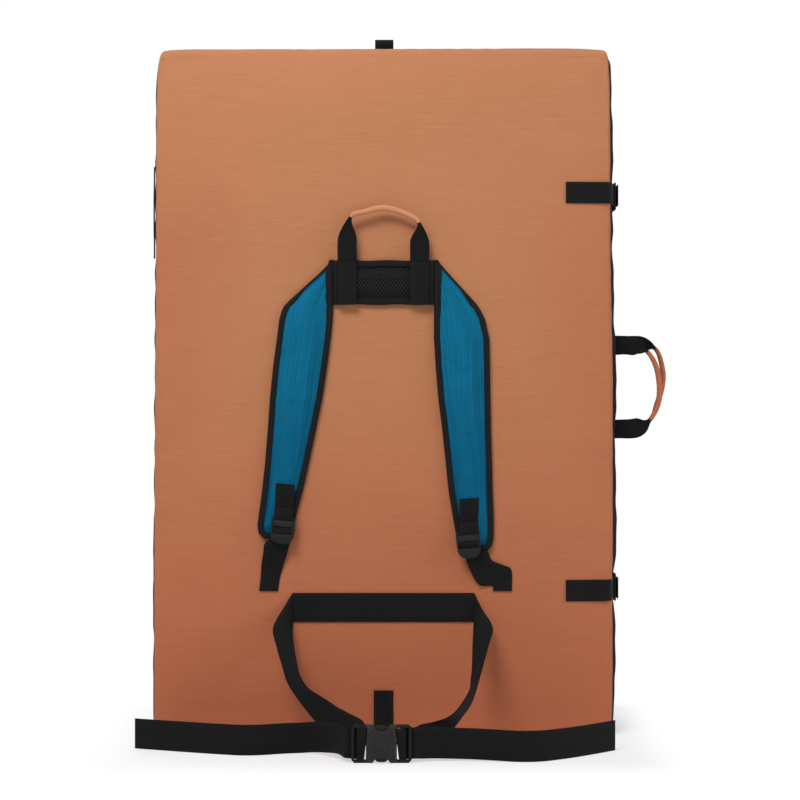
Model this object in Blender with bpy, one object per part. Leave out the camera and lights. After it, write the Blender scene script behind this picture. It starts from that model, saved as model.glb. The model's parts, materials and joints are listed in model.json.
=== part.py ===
"""Bouldering crash pad, folded shut and standing on its short edge, with its backpack harness.

Metres, +Z up, +X to the right of someone who faces the harness, which looks towards -Y.
The origin is on the floor, under the middle of the front half. The rear half stands behind it, and the two
are joined along the left edge. "Lift" is a distance out of the front panel's flat face, towards -Y.
"""

import math

import bmesh
import bpy
from mathutils import Vector

# Fits and stock
GAP = 0.0003
COVER_FABRIC = 0.0012
WEB_THICKNESS = 0.0014
TAPE_THICKNESS = 0.0010
SMOOTH_ANGLE = math.radians(35)

# Pad halves
PAD_WIDTH = 0.596
PAD_HEIGHT = 0.896
HALF_THICKNESS = 0.090
CORNER_RADIUS = 0.015
CORNER_STEPS = 4
OUTER_EDGE_RADIUS = 0.009
LANDING_EDGE_RADIUS = 0.005
FACE_CROWN = 0.003
CROWN_RUN = 0.090
SIDE_BULGE = 0.006
BAND_SHARES = (0, 0.15, 0.35, 0.65, 0.85, 1)
FOLD_GAP = 0.0006
FOLD_REACH = 0.0086
FOLD_STRIP_LENGTH = 0.850
DECK_FOAM_THICKNESS = 0.025

# Top loop and the low loops on the hinge side
TOP_LOOP_WIDTH = 0.025
TOP_LOOP_HEIGHT = 0.035
TOP_LOOP_OPEN = 0.009
TOP_LOOP_FOOT = 0.008
SIDE_LOOP_LENGTH = 0.120
SIDE_LOOP_WIDTH = 0.020
SIDE_LOOP_BOW = 0.0005
SIDE_LOOP_HEIGHTS = {"upper": 0.687, "lower": 0.220}

# Closures on the right edge
CLOSURE_HEIGHTS = {"upper": 0.7105, "lower": 0.1910}
CLOSURE_WEB_WIDTH = 0.028
CLOSURE_FACE_REACH = 0.060
CLOSURE_HOOK_DEPTH = 0.040
CLOSURE_LOOP_LENGTH = 0.012
CLOSURE_STRAP_SEAT = 0.022
HOOK_THICKNESS = 0.0025
HOOK_BAR = 0.0040
HOOK_SLOT = 0.0060
HOOK_SIDE = 0.0035
HOOK_LENGTH = 0.036

# Yoke
YOKE_WIDTH = 0.129
YOKE_FOOT = 0.5637
YOKE_HEIGHT = 0.0563
YOKE_THICKNESS = 0.0065
FLANGE_WIDTH = 0.0100
TAPE_COVER = 0.0070
SEAM_GAP = 0.0011

# Shoulder straps
STRAP_TOP = 0.616
STRAP_LENGTH = 0.356
STRAP_WIDTH = 0.0685
STRAP_THICKNESS = 0.0125
STRAP_END_THICKNESS = 0.0092
CROWN_RISE = 0.012
CROWN_SHARES = {"near": 0.72, "shoulder": 0.95}
STRAP_WEB_WIDTH = 0.025
STRAP_WEB_SEWN = 0.045
# Each row: how far down the strap, and where its inner and outer edges are, as shares of its length and width
LEFT_STRAP_SHARES = (
    (0.0, 0.0, 0.06), (0.037, 0.0, 0.25), (0.076, 0.0, 0.478), (0.124, 0.0, 0.75), (0.157, 0.0, 0.925),
    (0.2, 0.01, 0.99), (0.27, 0.045, 1.035), (0.368, 0.11, 1.105), (0.494, 0.21, 1.17),
    (0.607, 0.33, 1.21),
    (0.733, 0.465, 1.265), (0.831, 0.58, 1.32), (0.916, 0.70, 1.38), (0.950, 0.75, 1.405),
    (0.972, 0.79, 1.40), (0.989, 0.83, 1.37), (1.0, 0.93, 1.28),
)
RIGHT_STRAP_SHARES = (
    (0.0, 0.0, 0.10), (0.037, 0.0, 0.265), (0.076, 0.0, 0.45), (0.124, 0.0, 0.68), (0.157, 0.0, 0.83),
    (0.2, 0.0, 0.94), (0.27, 0.0, 1.02), (0.368, 0.03, 1.03), (0.494, 0.085, 1.04), (0.607, 0.16, 1.05),
    (0.733, 0.228, 1.07), (0.831, 0.28, 1.083), (0.93, 0.365, 1.103), (1.0, 0.43, 1.10), (1.018, 0.45, 1.085),
    (1.031, 0.475, 1.065),
    (1.046, 0.57, 0.98),
)

# Ladder locks and the webbing below them
LOCK_WIDTH = 0.0312
LOCK_HEIGHT = 0.033
LOCK_BAR_RADIUS = 0.0015
LOCK_RAIL_WIDTH = 0.0026
LOCK_RAIL_DEPTH = 0.0050
LOCK_MIDDLE_SHARE = 0.45
LOCK_ABOVE_END = 0.0235
LOCK_SIDESTEP = 0.006
LOCK_TURN = math.radians(5)
# The thumb lip's sections: half width as a share of the opening's, then back, front and distance below the
# last bar as shares of the bar's radius
LOCK_LIP_SHARES = ((1, -0.5, 0.5, 0), (0.85, 0.25, 1.3, 1), (0.5, 1, 1.9, 2.4))
# The rail's edge: lift as a share of half its depth, then distance down as a share of the way to the last bar
RAIL_FRONT_SHARES = ((0.8, 0.2), (1, 0.4), (0.6, 0.62), (0.6, 0.8), (1, 1))
RAIL_BACK_SHARES = ((-0.6, 0.75), (-0.8, 0.45), (-0.8, 0.25))
ANCHOR_CENTRE = {"left": -0.1500, "right": 0.1550}
ANCHOR_DROP = 0.0695
ANCHOR_SEWN = {"left": 0.026, "right": 0.012}
WEB_TAIL = 0.012
# The lower webbing between its anchor and the lock: shares of the way across, up and out, and its turn
# in degrees
WEB_SHARES = {
    "left": ((0.3, 0.35, 0.25, 3), (0.7, 0.7, 0.65, 5)),
    "right": ((0.22, 0.14, 0.2, 18), (0.55, 0.42, 0.45, 32), (0.85, 0.76, 0.8, 22)),
}

# Grab handle
GRAB_WEB_WIDTH = 0.025
GRAB_LEG_CENTRE = 0.047
GRAB_HEIGHT = 0.070
GRAB_STAND_OFF = 0.008
GRIP_WIDTH = 0.0115
GRIP_THICKNESS = 0.0110
ROLLED_WEB_WIDTH = 0.0070
ROLLED_WEB_THICKNESS = 0.0034
GRIP_CLEARANCE = 0.0004
HANDLE_ROOT = 0.0003

# Side handles
SIDE_HANDLE_HEIGHT = 0.4577
SIDE_HANDLE_SPREAD = 0.111
SIDE_HANDLE_REACH = {"front": 0.060, "rear": 0.068}
SIDE_HANDLE_WEB = 0.025

# Waist band, belt and lower tab
BAND_WIDTH = 0.038
BAND_LENGTH = 0.2335
BAND_CENTRE = 0.169
BELT_FLOOR_GAP = 0.0004
BELT_REACH = 0.120
# Belt loops from the band to the buckle: each row has the outer edge and then the inner one,
# as shares of BELT_REACH across, outwards and up
BELT_SHARES = {
    "left": (
        ((1.070, 0.067, 1.433), (0.979, 0.142, 1.160)), ((1.187, 0.183, 1.219), (0.956, 0.358, 1.091)),
        ((1.152, 0.333, 1.063), (0.923, 0.517, 0.950)), ((1.078, 0.458, 0.860), (0.871, 0.667, 0.779)),
        ((1.004, 0.542, 0.663), (0.782, 0.750, 0.656)), ((0.850, 0.625, 0.453), (0.630, 0.817, 0.570)),
        ((0.640, 0.820, 0.240), (0.470, 0.900, 0.480)), ((0.483, 1.070, 0.117), (0.380, 1.090, 0.410)),
    ),
    "right": (
        ((1.070, 0.067, 1.400), (0.969, 0.142, 1.160)), ((1.178, 0.183, 1.219), (0.954, 0.300, 1.025)),
        ((1.133, 0.350, 1.065), (0.942, 0.500, 0.883)), ((1.034, 0.567, 0.778), (0.917, 0.833, 0.758)),
        ((0.933, 0.750, 0.510), (0.885, 1.010, 0.650)), ((0.828, 0.870, 0.378), (0.717, 1.120, 0.446)),
        ((0.700, 1.040, 0.250), (0.500, 1.180, 0.375)), ((0.500, 1.240, 0.110), (0.400, 1.250, 0.390)),
    ),
}
# The tails' way from the buckle to their ends: shares of BELT_REACH across and outwards
TAIL_SHARES = {
    "left": (
        (-0.42, 1.27), (-0.50, 1.15), (-0.66, 0.96), (-0.84, 0.89), (-1.10, 0.95), (-1.42, 1.02),
        (-2.0, 0.86), (-2.604, 0.65),
    ),
    "right": (
        (0.42, 1.33), (0.62, 1.30), (0.92, 1.29), (1.35, 1.34), (1.62, 1.32), (2.02, 1.08), (2.425, 0.75),
    ),
}
TAB_WIDTH = 0.0255
TAB_HEIGHT = 0.0605

# Side-release buckle
BUCKLE_CENTRE = (-0.001, 0.165)
BUCKLE_LENGTH = 0.073
BUCKLE_HEIGHT = 0.046
BUCKLE_THICKNESS = 0.0115
BUCKLE_BODY = 0.034
BUCKLE_WALL = 0.0018
BUCKLE_BAR = 0.0035
BUCKLE_INNER_BAR = 0.0050
BUCKLE_BAR_THICKNESS = 0.0045
BUCKLE_SLOT = 0.0050
BUCKLE_SIDE = 0.0035
PRONG_THICKNESS = 0.0050
SPINE_HEIGHT = 0.0060
SPINE_LENGTH = 0.026
WINDOW_RADIUS = 0.012
WINDOW_DEPTH = 0.0070

# Worked out from the above
FACE_Y = -HALF_THICKNESS / 2
REAR_FACE_Y = 1.5 * HALF_THICKNESS + FOLD_GAP
OUTER_DEPTH = FACE_CROWN + OUTER_EDGE_RADIUS
ANCHOR_FOOT = STRAP_TOP - STRAP_LENGTH - ANCHOR_DROP
LANDING_DEPTH = HALF_THICKNESS - LANDING_EDGE_RADIUS
YOKE_TOP = YOKE_FOOT + YOKE_HEIGHT
TAPE_REACH = GAP + TAPE_THICKNESS
BACKING_LIFT = GAP + TAPE_REACH
FLANGE_TOP = BACKING_LIFT + 2 * COVER_FABRIC + GAP
TAB_LIFT = YOKE_THICKNESS + GAP


def clear_scene():
    for item in list(bpy.data.objects):
        bpy.data.objects.remove(item, do_unlink=True)
    for mesh in list(bpy.data.meshes):
        bpy.data.meshes.remove(mesh)
    for finish in list(bpy.data.materials):
        bpy.data.materials.remove(finish)


def material(name, colour, roughness, metallic=0.0):
    """A plain finish for one kind of stock."""
    finish = bpy.data.materials.get(name)
    if finish is None:
        finish = bpy.data.materials.new(name)
        finish.use_nodes = True
        shader = finish.node_tree.nodes["Principled BSDF"]
        shader.inputs["Base Color"].default_value = (*colour, 1.0)
        shader.inputs["Roughness"].default_value = roughness
        shader.inputs["Metallic"].default_value = metallic
    return finish


def orange_fabric():
    return material("orange_fabric", (0.45, 0.17, 0.075), 0.8)


def black_fabric():
    return material("black_fabric", (0.012, 0.012, 0.013), 0.8)


def webbing():
    return material("black_webbing", (0.012, 0.012, 0.013), 0.7)


def tape():
    return material("binding_tape", (0.010, 0.010, 0.011), 0.75)


def spacer_mesh():
    return material("spacer_mesh", (0.014, 0.014, 0.015), 0.9)


def blue_fabric():
    return material("blue_fabric", (0.007, 0.13, 0.23), 0.7)


def soft_foam():
    return material("soft_foam", (0.55, 0.50, 0.36), 0.95)


def firm_foam():
    return material("firm_foam", (0.10, 0.10, 0.11), 0.9)


def moulded_plastic():
    return material("moulded_plastic", (0.030, 0.030, 0.032), 0.45)


def hook_metal():
    return material("hook_metal", (0.35, 0.35, 0.36), 0.4, 1.0)


def finish_object(name, bm, finish, origin=(0, 0, 0), turn=0.0):
    """Turns a closed bmesh into an object whose faces point out, shaded smooth over its shallow edges.

    The mesh is drawn round its own origin, then placed there and turned about Y.
    """
    bmesh.ops.recalc_face_normals(bm, faces=bm.faces)
    mesh = bpy.data.meshes.new(name)
    bm.to_mesh(mesh)
    bm.free()
    mesh.shade_smooth()
    mesh.set_sharp_from_angle(angle=SMOOTH_ANGLE)
    mesh.materials.append(finish)
    item = bpy.data.objects.new(name, mesh)
    bpy.context.collection.objects.link(item)
    item.location = origin
    item.rotation_euler = (0, turn, 0)
    return item


def hide_tool(item):
    """Marks an object as a cutter or an added block, not a piece of the pad."""
    item.hide_render = True
    item.display_type = "WIRE"
    return item


def boolean(target, tool, operation):
    change = target.modifiers.new(operation.lower(), "BOOLEAN")
    change.operation = operation
    change.object = hide_tool(tool)
    change.solver = "EXACT"


def add_ring(bm, points):
    return [bm.verts.new(p) for p in points]


def bridge(bm, ring, after, closed=True):
    """Quads between two rows of corners."""
    count = len(ring)
    for i in range(count if closed else count - 1):
        j = (i + 1) % count
        bm.faces.new((ring[i], ring[j], after[j], after[i]))


def loft(name, rings, finish, loop=False, facets=False, **place):
    """A solid through rings of points, capped or joined into a loop. Facets splits its warped quads."""
    bm = bmesh.new()
    rows = [add_ring(bm, ring) for ring in rings]
    for row, after in zip(rows, rows[1:]):
        bridge(bm, row, after)
    if loop:
        bridge(bm, rows[-1], rows[0])
    else:
        bm.faces.new(rows[0])
        bm.faces.new(rows[-1])
    if facets:
        bmesh.ops.triangulate(bm, faces=list(bm.faces))
    return finish_object(name, bm, finish, **place)


def slab(name, front, back, finish):
    """A solid between two grids of points with the same rows and columns."""
    bm = bmesh.new()
    grids = []
    for grid in (front, back):
        rows = [add_ring(bm, row) for row in grid]
        for row, after in zip(rows, rows[1:]):
            bridge(bm, row, after, closed=False)
        grids.append(rows)
    borders = []
    for rows in grids:
        border = rows[0] + [row[-1] for row in rows[1:-1]] + rows[-1][::-1]
        borders.append(border + [row[0] for row in rows[-2:0:-1]])
    bridge(bm, borders[0], borders[1])
    return finish_object(name, bm, finish)


def plate(name, outline, thickness, finish, holes=(), **place):
    """A flat plate in the XZ plane, centred on Y = 0, with holes through it."""
    bm = bmesh.new()
    loops = []
    for points in (outline, *holes):
        corners = [bm.verts.new((x, -thickness / 2, z)) for x, z in points]
        loops += [bm.edges.new((a, b)) for a, b in zip(corners, corners[1:] + corners[:1])]
    bmesh.ops.triangle_fill(bm, use_beauty=True, use_dissolve=False, edges=loops)
    front = list(bm.faces)
    back = bmesh.ops.extrude_face_region(bm, geom=front)["geom"]
    moved = [v for v in back if isinstance(v, bmesh.types.BMVert)]
    bmesh.ops.translate(bm, verts=moved, vec=(0, thickness, 0))
    return finish_object(name, bm, finish, **place)


def block(name, low, high, finish=None, bevel=0.0, **place):
    """A box between two corners, its edges rounded off where a bevel is given."""
    bm = bmesh.new()
    bmesh.ops.create_cube(bm, size=1.0)
    for v in bm.verts:
        v.co = Vector([low[k] + (v.co[k] + 0.5) * (high[k] - low[k]) for k in range(3)])
    if bevel:
        bmesh.ops.bevel(bm, geom=list(bm.edges), offset=bevel, segments=1, affect="EDGES")
    return finish_object(name, bm, finish or moulded_plastic(), **place)


def rod(name, radius, low, high, sides, finish=None, axis="X", centre=(0, 0), **place):
    """A round bar along X or Y, with its centre line through two given coordinates."""
    rings = []
    for end in (low, high):
        ring = []
        for k in range(sides):
            a = 2 * math.pi * k / sides
            u, v = centre[0] + radius * math.cos(a), centre[1] + radius * math.sin(a)
            ring.append((end, u, v) if axis == "X" else (u, end, v))
        rings.append(ring)
    return loft(name, rings, finish or moulded_plastic(), **place)


def spline(points, steps):
    """A smooth curve through points, with that many steps between each two."""
    points = [Vector(p) for p in points]
    padded = [2 * points[0] - points[1]] + points + [2 * points[-1] - points[-2]]
    curve = []
    for a, b, c, d in zip(padded, padded[1:], padded[2:], padded[3:]):
        square, cube = 2 * a - 5 * b + 4 * c - d, 3 * b - a - 3 * c + d
        for k in range(steps):
            t = k / steps
            curve.append(0.5 * (2 * b + (c - a) * t + square * t**2 + cube * t**3))
    return curve + [points[-1]]


def turn_points(centre, radius, start, end, steps):
    """Points of a flat arc, with angles in degrees, as pairs."""
    angles = [math.radians(start + (end - start) * k / steps) for k in range(steps + 1)]
    return [(centre[0] + radius * math.cos(a), centre[1] + radius * math.sin(a)) for a in angles]


def tangents(path):
    last = len(path) - 1
    return [(path[min(k + 1, last)] - path[max(k - 1, 0)]).normalized() for k in range(last + 1)]


def web(name, path, width, across, finish, thickness=WEB_THICKNESS):
    """Flat webbing along the middle of a path, its width along one direction."""
    path = [Vector(p) for p in path]
    across = Vector(across).normalized()
    rings = []
    for point, along in zip(path, tangents(path)):
        side = across * width / 2
        up = along.cross(across).normalized() * thickness / 2
        rings.append([point - side - up, point + side - up, point + side + up, point - side + up])
    return loft(name, rings, finish)


def ribbon(name, edge, other_edge, finish, thickness=WEB_THICKNESS):
    """Flat webbing between two edges, given point by point."""
    middle = [(a + b) / 2 for a, b in zip(edge, other_edge)]
    rings = []
    for a, b, along in zip(edge, other_edge, tangents(middle)):
        up = along.cross((b - a).normalized()).normalized() * thickness / 2
        rings.append([a - up, b - up, b + up, a + up])
    return loft(name, rings, finish, facets=True)


# Pad halves


def half_y(half, depth):
    """Y of a depth into a half, from its outer face towards the fold."""
    return FACE_Y + depth if half == "front" else REAR_FACE_Y - depth


def face_depth(inset):
    """How far the outer panel lies behind its flat middle, at a distance in from its edge."""
    if inset < OUTER_EDGE_RADIUS:
        across = OUTER_EDGE_RADIUS - inset
        return OUTER_DEPTH - math.sqrt(max(OUTER_EDGE_RADIUS**2 - across**2, 0))
    run = min((inset - OUTER_EDGE_RADIUS) / CROWN_RUN, 1.0)
    return FACE_CROWN * (1 - run) ** 2


def band_depth(share):
    """Depth of a share of the way along the side band, from the outer panel to the landing panel."""
    return OUTER_DEPTH + GAP + (LANDING_DEPTH - OUTER_DEPTH - 2 * GAP) * share


def wall_bulge(depth):
    """How far the side wall swells beyond the panel's edge. It runs straight between the band's rows."""
    for share, after in zip(BAND_SHARES, BAND_SHARES[1:]):
        low, high = band_depth(share), band_depth(after)
        if low <= depth <= high:
            swell = [SIDE_BULGE * math.sin(math.pi * s) for s in (share, after)]
            return swell[0] + (swell[1] - swell[0]) * (depth - low) / (high - low)
    return 0.0


def pad_outline(y, inset=0.0, swell=0.0):
    """A rounded rectangle round the pad, inset and then swollen everywhere but along its foot."""
    radius = max(CORNER_RADIUS - inset + swell, CORNER_RADIUS / CORNER_STEPS)
    half_width = PAD_WIDTH / 2 - inset + swell - radius
    top, foot = PAD_HEIGHT - inset + swell - radius, inset + radius
    ring = []
    centres = ((half_width, top), (-half_width, top), (-half_width, foot), (half_width, foot))
    for corner, centre in enumerate(centres):
        points = turn_points(centre, radius, corner * 90, corner * 90 + 90, CORNER_STEPS)
        ring += [Vector((x, y, z)) for x, z in points]
    return ring


def outer_profile(grow=0.0):
    """Inset and depth along the outer panel, rim first. It lies a wall thickness inside when grow is one."""
    radius = OUTER_EDGE_RADIUS - grow
    profile = [(grow, OUTER_DEPTH)]
    for angle in (30, 60, 90):
        a = math.radians(angle)
        profile.append((OUTER_EDGE_RADIUS - radius * math.cos(a), OUTER_DEPTH - radius * math.sin(a)))
    for share in (0.3, 0.6, 1.0):
        profile.append((OUTER_EDGE_RADIUS + share * CROWN_RUN, grow + FACE_CROWN * (1 - share) ** 2))
    return profile


def shell(name, half, outer, inner, finish):
    """A tray of cover fabric: its outer skin, then back out along its inner skin."""
    rings = [pad_outline(half_y(half, depth), inset) for inset, depth in outer]
    rings_in = [pad_outline(half_y(half, depth), inset) for inset, depth in inner]
    bm = bmesh.new()
    rows = [add_ring(bm, ring) for ring in rings[::-1] + rings_in]
    for row, after in zip(rows, rows[1:]):
        bridge(bm, row, after)
    bm.faces.new(rows[0])
    bm.faces.new(rows[-1])
    return finish_object(name, bm, finish)


def outer_panel(half, finish):
    shell(f"{half}_outer_panel", half, outer_profile(), outer_profile(COVER_FABRIC), finish)


def landing_profile(grow=0.0):
    radius = LANDING_EDGE_RADIUS - grow
    profile = [(grow, LANDING_DEPTH)]
    for angle in (45, 90):
        a = math.radians(angle)
        profile.append((LANDING_EDGE_RADIUS - radius * math.cos(a), LANDING_DEPTH + radius * math.sin(a)))
    return profile


def landing_panel(half):
    shell(f"{half}_landing_panel", half, landing_profile(), landing_profile(COVER_FABRIC), black_fabric())


def side_band(half):
    """The black wall of a half, swollen by its foam and flat along its foot."""
    depths = [band_depth(share) for share in BAND_SHARES]
    outside = [pad_outline(half_y(half, d), 0.0, wall_bulge(d)) for d in depths]
    inside = [pad_outline(half_y(half, d), COVER_FABRIC, wall_bulge(d)) for d in depths]
    loft(f"{half}_side_band", outside + inside[::-1], black_fabric(), loop=True)


def foam_block(name, half, sections, finish):
    """A block of foam, as insets from the pad's outline at their depths, swollen with the side band."""
    rings = [pad_outline(half_y(half, depth), inset, wall_bulge(depth)) for inset, depth in sections]
    loft(name, rings, finish)


def foams(half):
    """The soft core behind the outer panel, and the firm deck under the landing panel."""
    clear = COVER_FABRIC + GAP
    deck_front = HALF_THICKNESS - clear - DECK_FOAM_THICKNESS
    core_back = deck_front - GAP
    core = outer_profile(clear)[::-1] + [(clear, depth) for depth in (band_depth(0.5), core_back)]
    foam_block(f"{half}_core_foam", half, core, soft_foam())
    deck = [(clear, deck_front)] + landing_profile(clear)
    foam_block(f"{half}_deck_foam", half, deck, firm_foam())


def fold_strip():
    """The fabric hinge: a strip from landing edge to landing edge, folded out round the hinge axis."""
    axis_y = FACE_Y + HALF_THICKNESS + FOLD_GAP / 2
    lift = GAP + COVER_FABRIC / 2
    sewn = [(band_depth(share), wall_bulge(band_depth(share)) + lift) for share in BAND_SHARES[-2:]]
    seat = [(-PAD_WIDTH / 2 - out, half_y("front", depth)) for depth, out in sewn]
    rim = seat[-1]
    radius = axis_y - rim[1]
    reach = FOLD_REACH - lift
    bend = [(rim[0] - reach * math.sin(a), axis_y - radius * math.cos(a)) for a in
            [math.pi * k / 6 for k in range(1, 6)]]
    path = seat + bend + [(x, 2 * axis_y - y) for x, y in reversed(seat)]
    middle = PAD_HEIGHT / 2
    points = [(x, y, middle) for x, y in path]
    web("fold_hinge_strip", points, FOLD_STRIP_LENGTH, (0, 0, 1), black_fabric(), COVER_FABRIC)


def hinge_side_loop(level):
    """A low webbing loop on the left wall, sewn down at both ends, flat on one facet of the band."""
    depths = [band_depth(share) for share in BAND_SHARES[1:3]]
    near, far = [(half_y("front", depth), wall_bulge(depth)) for depth in depths]
    slope = math.atan2(far[1] - near[1], far[0] - near[0])
    y = (near[0] + far[0]) / 2
    wall = PAD_WIDTH / 2 + (near[1] + far[1]) / 2
    low = SIDE_LOOP_HEIGHTS[level] - SIDE_LOOP_LENGTH / 2
    path = []
    for share, bow in ((0, 0), (0.12, 0), (0.3, 0.8), (0.5, 1), (0.7, 0.8), (0.88, 0), (1, 0)):
        lift = (GAP + WEB_THICKNESS / 2 + SIDE_LOOP_BOW * bow) / math.cos(slope)
        path.append((-wall - lift, y, low + SIDE_LOOP_LENGTH * share))
    across = (-math.sin(slope), math.cos(slope), 0)
    web(f"hinge_side_loop_{level}", path, SIDE_LOOP_WIDTH, across, webbing())


def top_loop():
    """A standing loop of webbing on the rear half's top, just behind the fold."""
    lift = GAP + WEB_THICKNESS / 2
    ridge = band_depth(BAND_SHARES[-2])
    y = half_y("rear", ridge)
    top = PAD_HEIGHT + wall_bulge(ridge) + lift
    radius = TOP_LOOP_OPEN / 2 + WEB_THICKNESS / 2
    feet = []
    for side in (1, -1):
        end = TOP_LOOP_FOOT + WEB_THICKNESS
        z = PAD_HEIGHT + wall_bulge(ridge + side * end) + lift
        near = 2 * WEB_THICKNESS
        feet.append([(y - side * end, z), (y - side * near, top + (z - top) * near / end)])
    centre = (y, PAD_HEIGHT + TOP_LOOP_HEIGHT - radius)
    rise = top + 2 * WEB_THICKNESS
    path = feet[0] + [(y - WEB_THICKNESS, rise)] + turn_points(centre, radius, 195, -15, 8)
    path += [(y + WEB_THICKNESS, rise)] + feet[1][::-1]
    web("top_loop", [(0, *point) for point in path], TOP_LOOP_WIDTH, (1, 0, 0), webbing())


# Harness yoke and shoulder straps


def lift_y(lift):
    return FACE_Y - lift


def crown_columns(width):
    """Where a bound pad's section changes, as shares of its width, with its share of the crown there."""
    flange = min(FLANGE_WIDTH, width / 4) / width
    rise = min(FLANGE_WIDTH + CROWN_RISE, width / 3) / width
    near = (flange + rise) / 2
    side = ((0, 0), (flange, 0), (near, CROWN_SHARES["near"]), (rise, CROWN_SHARES["shoulder"]))
    return (*side, (0.5, 1), *[(1 - share, height) for share, height in reversed(side)])


def bound_section(inner, outer, z, top, grow):
    """A row of points across a bound pad, from its inner to its outer edge, at a lift above its backing."""
    columns = crown_columns(abs(outer - inner))
    rise = top - FLANGE_TOP
    return [Vector((inner + (outer - inner) * s, lift_y(grow + rise * c), z)) for s, c in columns]


def binding(name, outline, closed):
    """Tape folded round the edge of a bound pad, swept along its outline in the XZ plane."""
    under = BACKING_LIFT - GAP
    over = FLANGE_TOP + GAP
    section = (
        (-TAPE_COVER, over), (GAP, over), (GAP, under), (-TAPE_COVER, under),
        (-TAPE_COVER, under - TAPE_THICKNESS), (GAP, under - TAPE_THICKNESS), (TAPE_REACH, under),
        (TAPE_REACH, over), (GAP, over + TAPE_THICKNESS), (-TAPE_COVER, over + TAPE_THICKNESS),
    )
    rings = []
    count = len(outline)
    for k, point in enumerate(outline):
        before = outline[(k - 1) % count] if closed or k else None
        after = outline[(k + 1) % count] if closed or k < count - 1 else None
        pairs = [(a, b) for a, b in ((before, point), (point, after)) if a is not None and b is not None]
        sides = [(b - a).normalized() for a, b in pairs]
        normals = [Vector((s.y, -s.x)) for s in sides]
        normal = sum(normals, Vector((0, 0))) / len(normals)
        normal /= normal.length_squared
        places = [(point + normal * out, lift) for out, lift in section]
        rings.append([Vector((place.x, lift_y(lift), place.y)) for place, lift in places])
    loft(name, rings, tape(), loop=closed)


def yoke():
    """The mesh panel between the shoulder straps, with tape round its edge."""
    half = YOKE_WIDTH / 2 - TAPE_REACH
    low, high = YOKE_FOOT + TAPE_REACH, YOKE_TOP - TAPE_REACH
    rows = crown_columns(high - low)
    front, back = [], []
    for share, rise in rows:
        z = low + (high - low) * share
        crown = FLANGE_TOP + (YOKE_THICKNESS - FLANGE_TOP) * rise
        front.append(bound_section(-half, half, z, crown, FLANGE_TOP))
        back.append(bound_section(-half, half, z, FLANGE_TOP, BACKING_LIFT))
    slab("harness_yoke", front, back, spacer_mesh())
    corners = ((-half, low), (half, low), (half, high), (-half, high))
    binding("yoke_binding", [Vector(c) for c in corners], closed=True)


def strap_rows(side, shares):
    """Inner edge, outer edge, height and full thickness at each station of a shoulder strap."""
    start = YOKE_WIDTH / 2 + SEAM_GAP + TAPE_REACH
    rows = []
    end = STRAP_LENGTH * shares[-1][0]
    for drop, inner, outer in shares:
        down = STRAP_LENGTH * drop
        taper = min(max((down / end - 0.5) / 0.28, 0), 1)
        thickness = STRAP_THICKNESS + (STRAP_END_THICKNESS - STRAP_THICKNESS) * taper
        from_end = min(down, end - down)
        closing = min(max((from_end - FLANGE_WIDTH) / CROWN_RISE, 0), 1)
        top = FLANGE_TOP + (thickness - FLANGE_TOP) * math.sin(closing * math.pi / 2)
        edges = [side * (start + STRAP_WIDTH * share) for share in (inner, outer)]
        rows.append((*edges, STRAP_TOP - down, top))
    return rows


def strap_outline(rows):
    """The bound part of the strap's edge, down the inner side and up the outer one."""
    bound = rows[2:]
    down = [Vector((inner, z)) for inner, _, z, _ in bound]
    up = [Vector((outer, z)) for _, outer, z, _ in bound[:0:-1]]
    return down + up


def shoulder_pad(name, side, rows):
    """Backing, foam and cover of a shoulder strap, held together by tape round the edge."""
    cover_front = [bound_section(i, o, z, top, FLANGE_TOP) for i, o, z, top in rows]
    cover_back = [bound_section(i, o, z, top, FLANGE_TOP - COVER_FABRIC) for i, o, z, top in rows]
    slab(f"shoulder_cover_{name}", cover_front, cover_back, blue_fabric())
    backing = []
    for lift in (BACKING_LIFT + COVER_FABRIC, BACKING_LIFT):
        backing.append([[Vector((x, lift_y(lift), z)) for x in (i, o)] for i, o, z, _ in rows])
    slab(f"shoulder_backing_{name}", *backing, spacer_mesh())
    inner_rows = [row for row in rows if row[3] > FLANGE_TOP + 3 * COVER_FABRIC]
    foam_top, foam_bottom = [], []
    for i, o, z, top in inner_rows:
        section = bound_section(i, o, z, top, FLANGE_TOP - COVER_FABRIC - GAP)[2:-2]
        foam_top.append(section)
        foam_bottom.append([Vector((p.x, lift_y(BACKING_LIFT + COVER_FABRIC + GAP), p.z)) for p in section])
    slab(f"shoulder_foam_{name}", foam_top, foam_bottom, soft_foam())
    outline = strap_outline(rows)
    binding(f"shoulder_binding_{name}", outline if side > 0 else outline[::-1], closed=False)


def lock_place(side, rows):
    """Where a ladder lock's top bar lies: just above the strap's end, on the middle of its webbing."""
    end = rows[-3]
    z = rows[-1][2] + LOCK_ABOVE_END
    x = (end[0] + end[1]) / 2 - side * LOCK_SIDESTEP
    lift = STRAP_END_THICKNESS + GAP + WEB_THICKNESS + GAP + LOCK_BAR_RADIUS
    return Vector((x, lift_y(lift), z))


def lock_across(side):
    """The direction of the lock's bars, which lean with the strap."""
    return Vector((math.cos(LOCK_TURN), 0, side * math.sin(LOCK_TURN)))


def lock_point(side, pivot, lift, down):
    """A point on the strap's middle line: a lift from the pivot and a distance down from it."""
    along = Vector((side * math.sin(LOCK_TURN), 0, -math.cos(LOCK_TURN)))
    return pivot + along * down + Vector((0, -lift, 0))


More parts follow.
